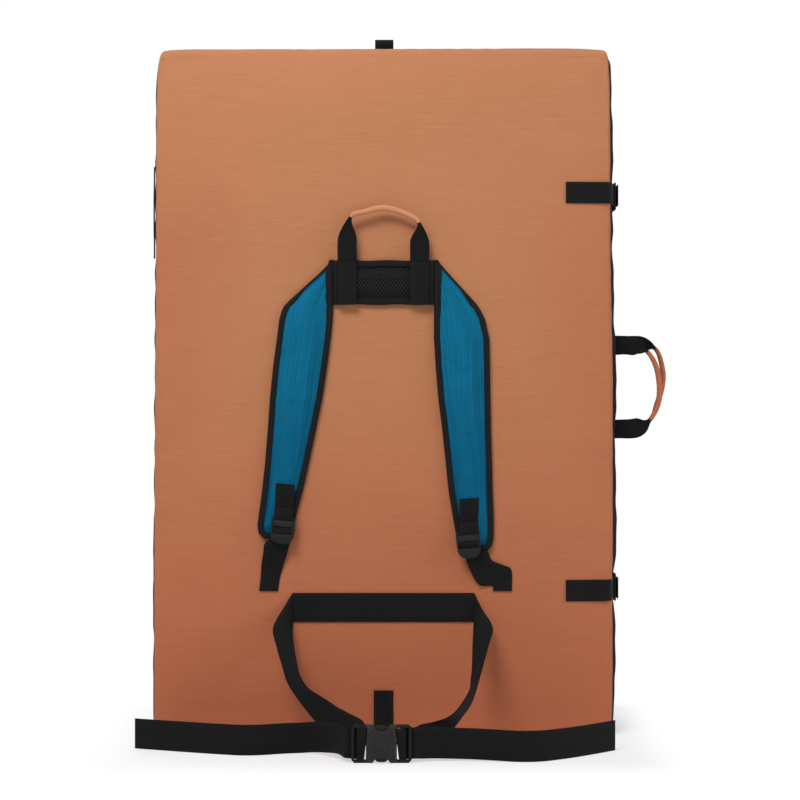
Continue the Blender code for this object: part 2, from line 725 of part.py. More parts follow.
def upper_web(name, side, rows):
    """Webbing sewn to the strap's face, doubled back round the ladder lock's top bar."""
    pivot = lock_place(side, rows)
    radius = LOCK_BAR_RADIUS + GAP + WEB_THICKNESS / 2
    path = [(-radius, -STRAP_WEB_SEWN), (-radius, 0)]
    path += [(-radius * math.cos(a), radius * math.sin(a)) for a in [math.pi * k / 6 for k in range(1, 6)]]
    path += [(radius, 0), (radius, -STRAP_WEB_SEWN / 3)]
    points = [lock_point(side, pivot, lift, down) for lift, down in path]
    web(f"shoulder_web_{name}", points, STRAP_WEB_WIDTH, lock_across(side), webbing())


def ladder_lock(name, side, rows):
    """A moulded adjuster: two waved rails with three bars between them, the last one with a thumb lip."""
    place = {"origin": lock_place(side, rows), "turn": -side * LOCK_TURN}
    half = LOCK_WIDTH / 2
    foot = LOCK_HEIGHT - 3 * LOCK_BAR_RADIUS
    deep = LOCK_RAIL_DEPTH / 2
    bar = LOCK_BAR_RADIUS
    # Rail outline as lift and distance down
    rail = [(-bar, 0), (-bar, -bar / 2), (0, -bar), (bar, -bar / 2)]
    rail += [(deep * out, foot * down) for out, down in RAIL_FRONT_SHARES]
    rail += [(bar, foot + bar), (-bar / 2, foot + bar), (-bar, foot)]
    rail += [(deep * out, foot * down) for out, down in RAIL_BACK_SHARES]
    rails = []
    for low in (-half, half - LOCK_RAIL_WIDTH):
        rings = [[Vector((x, -lift, -down)) for lift, down in rail] for x in (low, low + LOCK_RAIL_WIDTH)]
        title = f"lock_rail_{name}" if rails else f"ladder_lock_{name}"
        rails.append(loft(title, rings, moulded_plastic(), **place))
    lock = rails[0]
    boolean(lock, rails[1], "UNION")
    reach = half - LOCK_RAIL_WIDTH / 2
    for number, share in enumerate((0, LOCK_MIDDLE_SHARE, 1)):
        cross = rod(f"lock_bar_{name}_{number}", bar, -reach, reach, 10, centre=(0, -foot * share), **place)
        boolean(lock, cross, "UNION")
    inner = reach - LOCK_RAIL_WIDTH
    rings = []
    for share, back, front, down in LOCK_LIP_SHARES:
        width = inner * share
        corners = ((-width, back), (width, back), (width, front), (-width, front))
        rings.append([Vector((x, -bar * lift, -foot - bar * down)) for x, lift in corners])
    boolean(lock, loft(f"lock_lip_{name}", rings, moulded_plastic(), **place), "UNION")


def lower_web(name, side, rows):
    """Webbing from its anchor on the panel up behind the ladder lock, over the middle bar and down again."""
    pivot = lock_place(side, rows)
    foot = LOCK_HEIGHT - 3 * LOCK_BAR_RADIUS
    middle = foot * LOCK_MIDDLE_SHARE
    radius = LOCK_BAR_RADIUS + GAP + WEB_THICKNESS / 2
    tail_lift = -radius
    standing_lift = tail_lift - WEB_THICKNESS - GAP
    across = lock_across(side)
    start = Vector((ANCHOR_CENTRE[name], lift_y(GAP + WEB_THICKNESS / 2), ANCHOR_FOOT))
    sewn = start + Vector((0, 0, ANCHOR_SEWN[name]))
    end = lock_point(side, pivot, standing_lift, foot + 2 * LOCK_BAR_RADIUS)
    flat = Vector((1, 0, 0))
    stations = [(start, flat), (sewn, flat)]
    for across_share, up_share, out_share, degrees in WEB_SHARES[name]:
        shares = (across_share, out_share, up_share)
        point = Vector([a + (b - a) * share for a, b, share in zip(sewn, end, shares)])
        angle = math.radians(degrees)
        stations.append((point, Vector((math.cos(angle), 0, side * math.sin(angle)))))
    stations.append((end, across))
    over = [(standing_lift, foot - LOCK_BAR_RADIUS), (-radius, middle + LOCK_BAR_RADIUS)]
    turn = [math.pi * k / 6 for k in range(7)]
    over += [(-radius * math.cos(a), middle - radius * math.sin(a)) for a in turn]
    over += [(radius * 0.9, middle + radius), (-radius / 2, foot - 2 * radius)]
    over += [(tail_lift, foot - LOCK_BAR_RADIUS)]
    over += [(tail_lift, foot + WEB_TAIL)]
    stations += [(lock_point(side, pivot, lift, down), across) for lift, down in over]
    edges = [[p + w * s * STRAP_WEB_WIDTH / 2 for p, w in stations] for s in (-1, 1)]
    ribbon(f"strap_lower_webbing_{name}", edges[0], edges[1], webbing())


def shoulder_strap(name, side, shares):
    rows = strap_rows(side, shares)
    shoulder_pad(name, side, rows)
    upper_web(name, side, rows)
    ladder_lock(name, side, rows)
    lower_web(name, side, rows)


# Handles


def section_ring(point, along, normal, half_width, half_thickness):
    """An eight-cornered section: a flat strip with its edges eased."""
    across = along.cross(normal).normalized()
    ease = 0.8
    corners = (
        (1, 0.5), (ease, 1), (-ease, 1), (-1, 0.5), (-1, -0.5), (-ease, -1), (ease, -1), (1, -0.5),
    )
    return [point + across * u * half_width + normal * v * half_thickness for u, v in corners]


def round_ring(point, along, normal, half_width, half_thickness):
    """An eight-cornered oval section, matched corner for corner with the strip's."""
    across = along.cross(normal).normalized()
    angles = [math.radians(22.5 + 45 * k) for k in range(8)]
    return [point + across * math.cos(a) * half_width + normal * math.sin(a) * half_thickness for a in angles]


def handle(webbing_name, grip_name, corners, normal, web_width):
    """Webbing that lies flat in its legs and is rolled inside a sewn grip, along a route of given points."""
    path = spline(corners, 3)
    ways = tangents(path)
    ways[0], ways[-1] = (corners[1] - corners[0]).normalized(), (corners[-1] - corners[-2]).normalized()
    last = len(path) - 1
    rolled = (ROLLED_WEB_WIDTH / 2, ROLLED_WEB_THICKNESS / 2)
    flat = (web_width / 2, WEB_THICKNESS)
    rings = []
    for k, (point, along) in enumerate(zip(path, ways)):
        share = min(max(min(k, last - k) / 3 - 1, 0), 1)
        half_width, half_thickness = [f + (r - f) * share for f, r in zip(flat, rolled)]
        rings.append(section_ring(point, along, normal, half_width, half_thickness))
    loft(webbing_name, rings, webbing())
    bore = (ROLLED_WEB_WIDTH / 2 + GRIP_CLEARANCE, ROLLED_WEB_THICKNESS / 2 + GRIP_CLEARANCE)
    outside, inside = [], []
    for k in range(6, last - 5):
        slim = 0.82 if k in (6, last - 6) else 1.0
        outside.append(round_ring(path[k], ways[k], normal, GRIP_WIDTH / 2 * slim, GRIP_THICKNESS / 2 * slim))
        inside.append(section_ring(path[k], ways[k], normal, *bore))
    loft(grip_name, outside + inside[::-1], orange_fabric(), loop=True)


def grab_handle():
    """The carrying loop above the yoke: its sewn tabs, its legs and its rolled grip."""
    for name, side in (("left", -1), ("right", 1)):
        x = side * GRAB_LEG_CENTRE
        lift = TAB_LIFT + WEB_THICKNESS
        path = [(x, lift_y(lift), YOKE_FOOT), (x, lift_y(lift), YOKE_TOP)]
        web(f"grab_handle_tab_{name}", path, GRAB_WEB_WIDTH, (1, 0, 0), webbing(), 2 * WEB_THICKNESS)
    root = YOKE_TOP + HANDLE_ROOT
    base_lift = TAB_LIFT + WEB_THICKNESS
    route = (
        (1.0, 0.0, 0.0), (1.0, 0.45, 0.25), (0.93, 0.78, 0.7), (0.5, 0.95, 1.0), (0.0, 1.0, 1.0),
    )
    left = []
    for across, up, out in route:
        lift = base_lift + GRAB_STAND_OFF * out
        left.append(Vector((-GRAB_LEG_CENTRE * across, lift_y(lift), root + GRAB_HEIGHT * up)))
    right = [Vector((-p.x, p.y, p.z)) for p in reversed(left[:-1])]
    handle("grab_handle_webbing", "grab_handle_grip", left + right, Vector((0, -1, 0)), GRAB_WEB_WIDTH)


def side_handle(half):
    """A carrying loop on the right wall, at the middle of its half."""
    depth = (OUTER_DEPTH + LANDING_DEPTH) / 2
    wall = PAD_WIDTH / 2 + wall_bulge(depth) + GAP
    y = half_y(half, depth)
    route = ((0.0, 1.0), (0.42, 1.0), (0.86, 0.88), (1.0, 0.45), (1.03, 0.0))
    spread = SIDE_HANDLE_SPREAD / 2
    reach = SIDE_HANDLE_REACH[half]
    upper = [Vector((wall + reach * u, y, SIDE_HANDLE_HEIGHT + spread * v)) for u, v in route]
    lower = [Vector((p.x, p.y, 2 * SIDE_HANDLE_HEIGHT - p.z)) for p in reversed(upper[:-1])]
    names = [f"side_handle_{half}_{piece}" for piece in ("webbing", "grip")]
    handle(*names, upper + lower, Vector((0, -1, 0)), SIDE_HANDLE_WEB)


# Closures


def wall_x(depth):
    return PAD_WIDTH / 2 + wall_bulge(depth)


def hook_plane():
    """X of the middle of the closure hooks, outside the fullest part of the wall and one layer of webbing."""
    return PAD_WIDTH / 2 + SIDE_BULGE + GAP + WEB_THICKNESS + GAP + HOOK_THICKNESS / 2


def closure_web(level):
    """Webbing sewn to the front panel, round its right edge and along the wall to a loop for the hook."""
    z = CLOSURE_HEIGHTS[level]
    lift = GAP + WEB_THICKNESS / 2
    edge = PAD_WIDTH / 2
    path = []
    for share in (1.0, 0.7, 0.4, 0.2):
        inset = OUTER_EDGE_RADIUS + (CLOSURE_FACE_REACH - OUTER_EDGE_RADIUS) * share
        path.append((edge - inset, half_y("front", face_depth(inset) - lift)))
    centre = (edge - OUTER_EDGE_RADIUS, half_y("front", OUTER_DEPTH))
    path += turn_points(centre, OUTER_EDGE_RADIUS + lift, -90, 0, 5)
    hook_y = half_y("front", CLOSURE_HOOK_DEPTH)
    finger = (hook_plane(), hook_y + HOOK_BAR / 2)
    depths = [OUTER_DEPTH + (CLOSURE_HOOK_DEPTH - OUTER_DEPTH) * share for share in (0.3, 0.6, 1.0)]
    path += [(wall_x(d) + lift + GAP, half_y("front", d)) for d in depths]
    radius = HOOK_THICKNESS / 2 + GAP + WEB_THICKNESS / 2
    path += [(finger[0] - radius, finger[1] + HOOK_BAR / 2)]
    path += turn_points((finger[0], finger[1] + HOOK_BAR / 2), radius, 150, 0, 5)
    path += [(finger[0] + radius, finger[1]), (finger[0] + radius, finger[1] - CLOSURE_LOOP_LENGTH)]
    web(f"closure_webbing_{level}", [(x, y, z) for x, y in path], CLOSURE_WEB_WIDTH, (0, 0, 1), webbing())


def closure_hook(level):
    """A flat metal hook: a slot for its strap, and an open slot with an entry for the other loop."""
    z = CLOSURE_HEIGHTS[level]
    half = CLOSURE_WEB_WIDTH / 2 + 2 * GAP
    outer = half + HOOK_SIDE
    length = HOOK_LENGTH
    finger, mouth = HOOK_BAR, HOOK_BAR + HOOK_SLOT
    corner = HOOK_SIDE / 2
    # Drawn with its length along X: the finger first, the strap's slot last
    outline = [
        (corner, -outer), (length - corner, -outer), (length, -outer + corner), (length, outer - corner),
        (length - corner, outer), (mouth, outer), (mouth, half - HOOK_SLOT),
        (mouth - corner / 2, half - HOOK_SLOT - corner / 2),
        (mouth - corner / 2, -half), (finger, -half), (finger, outer - corner), (finger - corner / 2, outer),
        (corner, outer), (0, outer - corner), (0, -outer + corner),
    ]
    slot_far = length - HOOK_BAR
    slot_near = slot_far - HOOK_SLOT
    slot = [(slot_near, -half), (slot_far, -half), (slot_far, half), (slot_near, half)]
    left, right = mouth + HOOK_SIDE, slot_near - HOOK_SIDE
    foot, top = -half + HOOK_SIDE, half - HOOK_SLOT - HOOK_SIDE
    lightening = [(left, foot), (right, foot), (right, top), (left, top)]
    hook_y = half_y("front", CLOSURE_HOOK_DEPTH)
    item = plate(f"closure_hook_{level}", outline, HOOK_THICKNESS, hook_metal(), holes=(slot, lightening))
    item.rotation_euler = (0, 0, math.pi / 2)
    item.location = (hook_plane(), hook_y, z)
    ease = item.modifiers.new("eased edges", "BEVEL")
    ease.width = HOOK_THICKNESS / 6
    ease.segments = 1
    ease.limit_method = "ANGLE"


def closure_strap(level):
    """Webbing sewn to the rear wall, forward to the hook and round its last bar."""
    z = CLOSURE_HEIGHTS[level]
    lift = GAP + WEB_THICKNESS / 2
    bar_y = half_y("front", CLOSURE_HOOK_DEPTH) + HOOK_LENGTH - HOOK_BAR / 2
    radius = HOOK_THICKNESS / 2 + GAP + WEB_THICKNESS / 2
    x = hook_plane()
    path = [(x + radius, bar_y + HOOK_BAR * 2), (x + radius, bar_y)]
    path += [(x + dx, bar_y - HOOK_BAR / 2 + dy) for dx, dy in turn_points((0, 0), radius, 0, -180, 6)]
    path += [(x - radius, bar_y), (x - radius, bar_y + HOOK_BAR)]
    for share in (0.45, 0.7, 1.0):
        depth = CLOSURE_STRAP_SEAT + (1 - share) * HALF_THICKNESS / 2
        path.append((wall_x(depth) + lift + GAP, half_y("rear", depth)))
    web(f"closure_strap_{level}", [(x, y, z) for x, y in path], CLOSURE_WEB_WIDTH, (0, 0, 1), webbing())


# Waist band, belt and buckle


def waist_band():
    lift = GAP + WEB_THICKNESS / 2
    half = BAND_LENGTH / 2
    path = [(x, lift_y(lift), BAND_CENTRE) for x in (-half, 0, half)]
    web("waist_band", path, BAND_WIDTH, (0, 0, 1), webbing())


def lower_tab():
    """The vertical webbing tab below the waist band, following the panel's rounded foot."""
    lift = GAP + WEB_THICKNESS / 2
    path = []
    for inset in (TAB_HEIGHT, TAB_HEIGHT / 2, OUTER_EDGE_RADIUS * 1.5):
        path.append((0, half_y("front", face_depth(inset) - lift), inset))
    centre = (half_y("front", OUTER_DEPTH), OUTER_EDGE_RADIUS)
    path += [(0, y, z) for y, z in turn_points(centre, OUTER_EDGE_RADIUS + lift, 180, 205, 2)]
    web("lower_center_tab", path, TAB_WIDTH, (1, 0, 0), webbing())


def belt_lifts():
    """Lifts of the tail and of the loop where they lie behind a buckle half's outer bar."""
    tail = BUCKLE_CENTRE[1] - BUCKLE_BAR_THICKNESS / 2 - GAP - WEB_THICKNESS / 2
    return tail, tail - WEB_THICKNESS - GAP


def belt_foot():
    """Height of the belt's lower edge inside the buckle."""
    return BELT_FLOOR_GAP + (BUCKLE_HEIGHT - BAND_WIDTH) / 2


def belt_loop(name, side):
    """One side of the waist belt, from the band's end down to the buckle, rolling over on its way."""
    band_end = BAND_LENGTH / 2 + WEB_THICKNESS
    lift = belt_lifts()[1]
    out = BUCKLE_LENGTH / 2
    bar = out - BUCKLE_BAR - BUCKLE_SLOT - BUCKLE_INNER_BAR
    edges = []
    for edge in (0, 1):
        z = BAND_CENTRE + BAND_WIDTH / 2 * (1 - 2 * edge)
        points = [Vector((side * band_end, lift_y(GAP + WEB_THICKNESS / 2), z))]
        for row in BELT_SHARES[name]:
            x, forward, up = [share * BELT_REACH for share in row[edge]]
            points.append(Vector((side * x, lift_y(forward), up)))
        z = belt_foot() + BAND_WIDTH * edge
        ends = [Vector((BUCKLE_CENTRE[0] + side * x, lift_y(lift), z)) for x in (out + BUCKLE_BAR, bar)]
        edges.append(spline(points + ends[:1], 3) + ends[1:])
    ribbon(f"hip_belt_loop_{name}", edges[0], edges[1], webbing())


def belt_tail(name, side):
    """A free belt end standing on its edge on the floor, after its turn round the buckle's inner bar."""
    tail, loop = belt_lifts()
    middle = BUCKLE_CENTRE[1]
    bend = GAP + WEB_THICKNESS / 2
    far = BUCKLE_LENGTH / 2 - BUCKLE_BAR
    outer = far - BUCKLE_SLOT
    inner = outer - BUCKLE_INNER_BAR
    face = middle + BUCKLE_BAR_THICKNESS / 2
    back = middle - BUCKLE_BAR_THICKNESS / 2
    turn = [(inner - bend, loop + WEB_THICKNESS / 2 + GAP)]
    turn += turn_points((inner, face), bend, 180, 90, 3) + turn_points((outer, face), bend, 90, 0, 3)
    turn += [(outer + bend, face - bend)] + turn_points((far, back), bend, 180, 270, 3)
    turn += [(BUCKLE_LENGTH / 2 + 2.5 * BUCKLE_BAR, tail)]
    path = [Vector((BUCKLE_CENTRE[0] + side * x, lift_y(lift), belt_foot())) for x, lift in turn]
    places = [(x * BELT_REACH, lift * BELT_REACH) for x, lift in TAIL_SHARES[name]]
    route = [Vector((x, lift_y(lift), BELT_FLOOR_GAP)) for x, lift in places]
    path += spline([path[-1]] + route, 2)[1:]
    edge = [p.copy() for p in path]
    other = [p + Vector((0, 0, BAND_WIDTH)) for p in path]
    ribbon(f"hip_belt_tail_{name}", edge, other, webbing())


def buckle_frame(side):
    """Outline and slots of the webbing end of a buckle half, with X from the buckle's middle outwards."""
    end = BUCKLE_LENGTH / 2
    start = BUCKLE_BODY / 2
    half = BUCKLE_HEIGHT / 2
    inside = half - BUCKLE_SIDE
    ease = BUCKLE_SIDE
    outline = [(start, -half), (end - ease, -half), (end, -half + ease)]
    outline += [(end, half - ease), (end - ease, half), (start, half)]
    far = end - BUCKLE_BAR
    near = far - BUCKLE_SLOT
    slots = [[(near, -inside), (far, -inside), (far, inside), (near, inside)]]
    far = near - BUCKLE_INNER_BAR
    near = max(far - BUCKLE_SLOT, start + BUCKLE_WALL)
    slots.append([(near, -inside), (far, -inside), (far, inside), (near, inside)])
    flip = [[(side * x, z) for x, z in loop] for loop in (outline, *slots)]
    return flip[0], flip[1:]


def buckle_origin():
    return Vector((BUCKLE_CENTRE[0], lift_y(BUCKLE_CENTRE[1]), BELT_FLOOR_GAP + BUCKLE_HEIGHT / 2))


def buckle_female():
    """The housing: a barrelled sleeve with an open mouth, side windows for the prongs and a webbing frame."""
    place = {"origin": buckle_origin()}
    half_h = BUCKLE_HEIGHT / 2
    half_t = BUCKLE_THICKNESS / 2
    rings = []
    for share, swell in ((-1, 0.80), (-0.75, 0.95), (0, 1), (0.75, 0.97), (1, 0.90)):
        x = BUCKLE_BODY / 2 * share
        t = half_t * swell
        rings.append([Vector((x, y, z)) for z, y in (
            (half_h, t * 0.5), (half_h * 0.93, t * 0.85), (half_h * 0.6, t),
            (-half_h * 0.6, t), (-half_h * 0.93, t * 0.85), (-half_h, t * 0.5),
            (-half_h, -t * 0.5), (-half_h * 0.93, -t * 0.85), (-half_h * 0.6, -t),
            (half_h * 0.6, -t), (half_h * 0.93, -t * 0.85), (half_h, -t * 0.5))])
    body = loft("buckle_female", rings, moulded_plastic(), **place)
    outline, slots = buckle_frame(-1)
    outline = [(x + (BUCKLE_WALL if x > -BUCKLE_BODY / 2 - BUCKLE_WALL else 0), z) for x, z in outline]
    frame = plate("female_frame", outline, BUCKLE_BAR_THICKNESS, moulded_plastic(), holes=slots, **place)
    boolean(body, frame, "UNION")
    cavity_t = BUCKLE_THICKNESS / 2 - BUCKLE_WALL
    cavity_h = half_h - 2 * BUCKLE_WALL
    back = -BUCKLE_BODY / 2 + BUCKLE_WALL
    cavity = block("female_cavity", (back, -cavity_t, -cavity_h), (BUCKLE_BODY, cavity_t, cavity_h), **place)
    boolean(body, cavity, "DIFFERENCE")
    for side in (-1, 1):
        centre = (0, side * (half_h - WINDOW_DEPTH + WINDOW_RADIUS))
        reach = (-BUCKLE_THICKNESS, BUCKLE_THICKNESS)
        window = rod(f"female_window_{side}", WINDOW_RADIUS, *reach, 24, axis="Y", centre=centre, **place)
        boolean(body, window, "DIFFERENCE")
    for k in (-1, 0, 1):
        x = BUCKLE_BODY / 4 * k
        low = (x - BUCKLE_WALL / 2, -half_t - BUCKLE_WALL / 3, -half_h / 4)
        high = (x + BUCKLE_WALL / 2, -half_t + BUCKLE_WALL / 2, half_h / 4)
        rib = block(f"female_rib_{k}", low, high, bevel=BUCKLE_WALL / 5, **place)
        boolean(body, rib, "UNION")


def buckle_male():
    """The other half's frame, with the flat spine that guides it into the housing."""
    place = {"origin": buckle_origin()}
    outline, slots = buckle_frame(1)
    start = BUCKLE_BODY / 2 + GAP
    outline = [(max(x, start), z) for x, z in outline]
    body = plate("buckle_male", outline, BUCKLE_BAR_THICKNESS, moulded_plastic(), holes=slots, **place)
    half_t = PRONG_THICKNESS / 2
    root = start + BUCKLE_WALL / 2
    spine = block("male_spine", (root - SPINE_LENGTH, -half_t, -SPINE_HEIGHT / 2),
                  (root, half_t, SPINE_HEIGHT / 2), bevel=BUCKLE_WALL / 5, **place)
    boolean(body, spine, "UNION")


def release_prong(name, side):
    """A springy arm whose thumb pad shows in the housing's window and whose barb holds behind its edge."""
    half = BUCKLE_HEIGHT / 2
    root = BUCKLE_BODY / 2
    top = half - 2 * BUCKLE_WALL - 2 * GAP
    inner = SPINE_HEIGHT / 2 + BUCKLE_SIDE
    thumb = WINDOW_RADIUS / 2
    outline = [
        (root, top - BUCKLE_BAR), (root, top), (thumb + BUCKLE_WALL, top), (thumb, half - BUCKLE_WALL),
        (thumb / 2, half - BUCKLE_WALL / 2),
        (-thumb / 2, half - BUCKLE_WALL / 2), (-thumb, half - BUCKLE_WALL), (-thumb - BUCKLE_WALL, top),
        (-thumb - 2 * BUCKLE_WALL, top - BUCKLE_WALL), (-thumb - 2 * BUCKLE_WALL, inner + BUCKLE_WALL),
        (-thumb, inner), (thumb, top - 2 * BUCKLE_BAR), (root - BUCKLE_BAR, top - BUCKLE_BAR),
    ]
    outline = [(x, side * z) for x, z in outline]
    plate(f"release_prong_{name}", outline, PRONG_THICKNESS, moulded_plastic(), origin=buckle_origin())


def build():
    clear_scene()
    for half, finish in (("front", orange_fabric()), ("rear", black_fabric())):
        outer_panel(half, finish)
        side_band(half)
        landing_panel(half)
        foams(half)
        side_handle(half)
    fold_strip()
    top_loop()
    for level in ("upper", "lower"):
        hinge_side_loop(level)
        closure_web(level)
        closure_hook(level)
        closure_strap(level)
    yoke()
    grab_handle()
    shoulder_strap("left", -1, LEFT_STRAP_SHARES)
    shoulder_strap("right", 1, RIGHT_STRAP_SHARES)
    waist_band()
    lower_tab()
    for name, side in (("left", -1), ("right", 1)):
        belt_loop(name, side)
        belt_tail(name, side)
    buckle_female()
    buckle_male()
    release_prong("upper", 1)
    release_prong("lower", -1)


build()
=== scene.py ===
"""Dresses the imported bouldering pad: sewn covers, webbing, padded straps, moulded fittings and a studio."""

import itertools
import json
import math

import bmesh
import bpy
import numpy as np
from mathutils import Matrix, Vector

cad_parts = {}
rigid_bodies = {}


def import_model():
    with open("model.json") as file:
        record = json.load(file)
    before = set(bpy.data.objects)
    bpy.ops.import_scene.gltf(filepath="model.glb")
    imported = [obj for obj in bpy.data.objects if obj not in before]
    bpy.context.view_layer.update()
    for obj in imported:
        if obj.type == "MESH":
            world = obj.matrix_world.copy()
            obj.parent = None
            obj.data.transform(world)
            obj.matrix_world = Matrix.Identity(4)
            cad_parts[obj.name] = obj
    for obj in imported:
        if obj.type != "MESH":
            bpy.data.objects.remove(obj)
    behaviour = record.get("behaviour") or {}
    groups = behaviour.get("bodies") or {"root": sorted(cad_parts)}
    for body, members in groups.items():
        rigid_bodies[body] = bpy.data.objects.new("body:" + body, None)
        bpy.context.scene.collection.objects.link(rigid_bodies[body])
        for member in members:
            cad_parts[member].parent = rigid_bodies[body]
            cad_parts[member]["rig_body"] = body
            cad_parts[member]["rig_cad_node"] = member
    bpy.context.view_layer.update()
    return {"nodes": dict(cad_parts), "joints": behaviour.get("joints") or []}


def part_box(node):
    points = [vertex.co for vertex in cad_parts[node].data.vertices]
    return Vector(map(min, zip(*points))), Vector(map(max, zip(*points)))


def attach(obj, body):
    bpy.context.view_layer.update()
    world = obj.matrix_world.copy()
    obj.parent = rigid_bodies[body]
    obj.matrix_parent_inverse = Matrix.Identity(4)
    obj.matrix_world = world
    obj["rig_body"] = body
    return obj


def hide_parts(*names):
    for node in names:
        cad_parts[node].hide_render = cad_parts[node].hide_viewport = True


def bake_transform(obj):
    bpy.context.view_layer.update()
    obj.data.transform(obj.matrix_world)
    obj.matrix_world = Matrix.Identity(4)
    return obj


bl_info = {
    "name": "Bouldering pad dressing",
    "version": (1, 0, 0),
    "blender": (4, 5, 0),
    "location": "View3D > Sidebar > Pad",
    "description": "Builds the fabric, webbing, fittings and studio round a folded bouldering pad",
    "category": "Object",
}

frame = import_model()

HALVES = ("front", "rear")
SIDES = {"left": -1, "right": 1}
LEVELS = ("upper", "lower")

# Each strap: the body that it rides on, and the way to its first end
STRAPS = {
    "waist_band": ("front_half", (-1, 0, 0)),
    "lower_center_tab": ("front_half", (0, 0, 1)),
    "grab_handle_tab_left": ("front_half", (0, 0, -1)),
    "grab_handle_tab_right": ("front_half", (0, 0, -1)),
    "closure_webbing_upper": ("front_half", (-1, 0, 0)),
    "closure_webbing_lower": ("front_half", (-1, 0, 0)),
    "hinge_side_loop_upper": ("front_half", (0, 0, -1)),
    "hinge_side_loop_lower": ("front_half", (0, 0, -1)),
    "top_loop": ("rear_half", (0, -1, 0)),
    "shoulder_web_left": ("shoulder_strap_left", (0, 0, 1)),
    "shoulder_web_right": ("shoulder_strap_right", (0, 0, 1)),
    "hip_belt_tail_left": ("hip_belt", (-1, 0, 0)),
    "hip_belt_tail_right": ("buckle_male", (1, 0, 0)),
}
# Straps that bend between two bodies: those bodies, the way to the first end, and where the bend starts
# and ends
BENDING = {
    "closure_strap_upper": (
        "rear_half", "closure_upper", (0, 1, 0), (0.304, 0.105, 0.71), (0.304, 0.088, 0.71)),
    "closure_strap_lower": (
        "rear_half", "closure_lower", (0, 1, 0), (0.304, 0.105, 0.191), (0.304, 0.088, 0.191)),
    "strap_lower_webbing_left": (
        "front_half", "shoulder_strap_left", (0, 0, -1), (-0.15, -0.046, 0.208), (-0.145, -0.055, 0.25)),
    "strap_lower_webbing_right": (
        "front_half", "shoulder_strap_right", (0, 0, -1), (0.155, -0.046, 0.2), (0.125, -0.055, 0.238)),
    "hip_belt_loop_left": ("front_half", "hip_belt", (1, 0, 0), (0, -0.05, 0.168), (0, -0.165, 0.04)),
    "hip_belt_loop_right": ("front_half", "hip_belt", (-1, 0, 0), (0, -0.05, 0.168), (0, -0.165, 0.04)),
}
# Rows of a strap that lie in a fold or a twist: the places of its two edges, across and up and for some in
# depth
FOLDS = {
    "strap_lower_webbing_right": {
        1: ((0.1414, 0.1971), (0.1666, 0.2195)), 2: ((0.1304, 0.1972), (0.1584, 0.2238)),
        3: ((0.1231, 0.2010), (0.1431, 0.2300)), 4: ((0.1129, 0.2220), (0.1384, 0.2420)),
        5: ((0.1083, 0.2365), (0.1363, 0.2450)),
    },
    "strap_lower_webbing_left": {
        1: ((-0.1615, 0.2071), (-0.1365, 0.2071)), 2: ((-0.1614, 0.2260), (-0.1324, 0.2255)),
        3: ((-0.1597, 0.2420), (-0.1283, 0.2410)), 4: ((-0.1581, 0.2540), (-0.1260, 0.2530)),
        5: ((-0.1545, 0.2580), (-0.1250, 0.2560)),
    },
    "hip_belt_loop_left": {
        0: ((-0.0240, 0.0044), (-0.0170, 0.0424, -0.2034)),
        1: ((-0.0380, 0.0044), (-0.0205, 0.0450, -0.2030)),
        2: ((-0.0420, 0.0074), (-0.0236, 0.0487, -0.1990)), 3: ((-0.0480, 0.0104), (-0.0300, 0.0504)),
        4: ((-0.0545, 0.0140), (-0.0363, 0.0517)), 5: ((-0.0615, 0.0182), (-0.0427, 0.0532)),
        6: ((-0.0690, 0.0229), (-0.0486, 0.0550)),
    },
    "hip_belt_loop_right": {
        2: ((0.0459, 0.0070), (0.0419, 0.0426)), 3: ((0.0528, 0.0097), (0.0448, 0.0436)),
        4: ((0.0600, 0.0132), (0.0480, 0.0441)), 5: ((0.0681, 0.0183), (0.0513, 0.0443)),
        6: ((0.0765, 0.0242), (0.0548, 0.0444)),
    },
}
# Rows of a belt end that hang off the floor: from which row on, and how far each is raised
RAISED = {
    "hip_belt_tail_left": (9, (0.0012, 0.0024, 0.0042, 0.0060, 0.0068, 0.0062, 0.0036, 0.0012)),
    "hip_belt_tail_right": (7, (0.0010, 0.0018, 0.0024, 0.0030, 0.0038, 0.0036, 0.0020)),
}
# A belt's wrap round the buckle's bar: from which row on its upper edge leans across, and how far
LEANING = {"hip_belt_tail_left": (25, 0.0048), "hip_belt_tail_right": (24, -0.0046)}
# How far a strap lies from its CAD place: aside at its lower end, aside at its upper end, and up
ASIDE = {
    "shoulder_web_left": (0.0062, 0.0047, 0.0022), "shoulder_web_right": (-0.0030, 0.0020, 0),
    "strap_lower_webbing_left": (0, 0.0055, 0), "strap_lower_webbing_right": (0, -0.0040, 0),
}
# Straps whose loose end is tucked under their adjuster
TUCKED = ("strap_lower_webbing_left", "strap_lower_webbing_right")
# Straps that run on at both ends, and how far
LENGTHENED = {"waist_band": 0.0011}
# Straps that are sewn down: how far from each end the sewing goes, or all along
SEWN = {
    "waist_band": 0.012, "lower_center_tab": 1.0, "grab_handle_tab_left": 1.0, "grab_handle_tab_right": 1.0,
    "closure_webbing_upper": 0.026, "closure_webbing_lower": 0.026, "hinge_side_loop_upper": 0.014,
    "hinge_side_loop_lower": 0.014, "shoulder_web_left": 0.030, "shoulder_web_right": 0.030,
    "strap_lower_webbing_left": 0.016, "strap_lower_webbing_right": 0.010, "top_loop": 0.006,
}
# Tints of the orange cloth's red, green and blue: painted shade low on the outer panel and towards its sides,
# also the side grips' tone all over; and a painted highlight that pales the grab handle's grip all over
SHADE_AND_GRIP_TINT = (0.94, 0.68, 0.68)
GRIP_HIGHLIGHT_TINT = (1.16, 1.26, 1.34)
# Width of the handles' webbing
HANDLE_WEB = 0.025
# How far the yoke's sewn upper edge stands over its panel
YOKE_RISE = 0.0018
# How far each adjuster has slid on its strap, across and up
SLID = {"ladder_lock_left": (0.0064, 0, 0.0022), "ladder_lock_right": (-0.0042, 0, 0)}
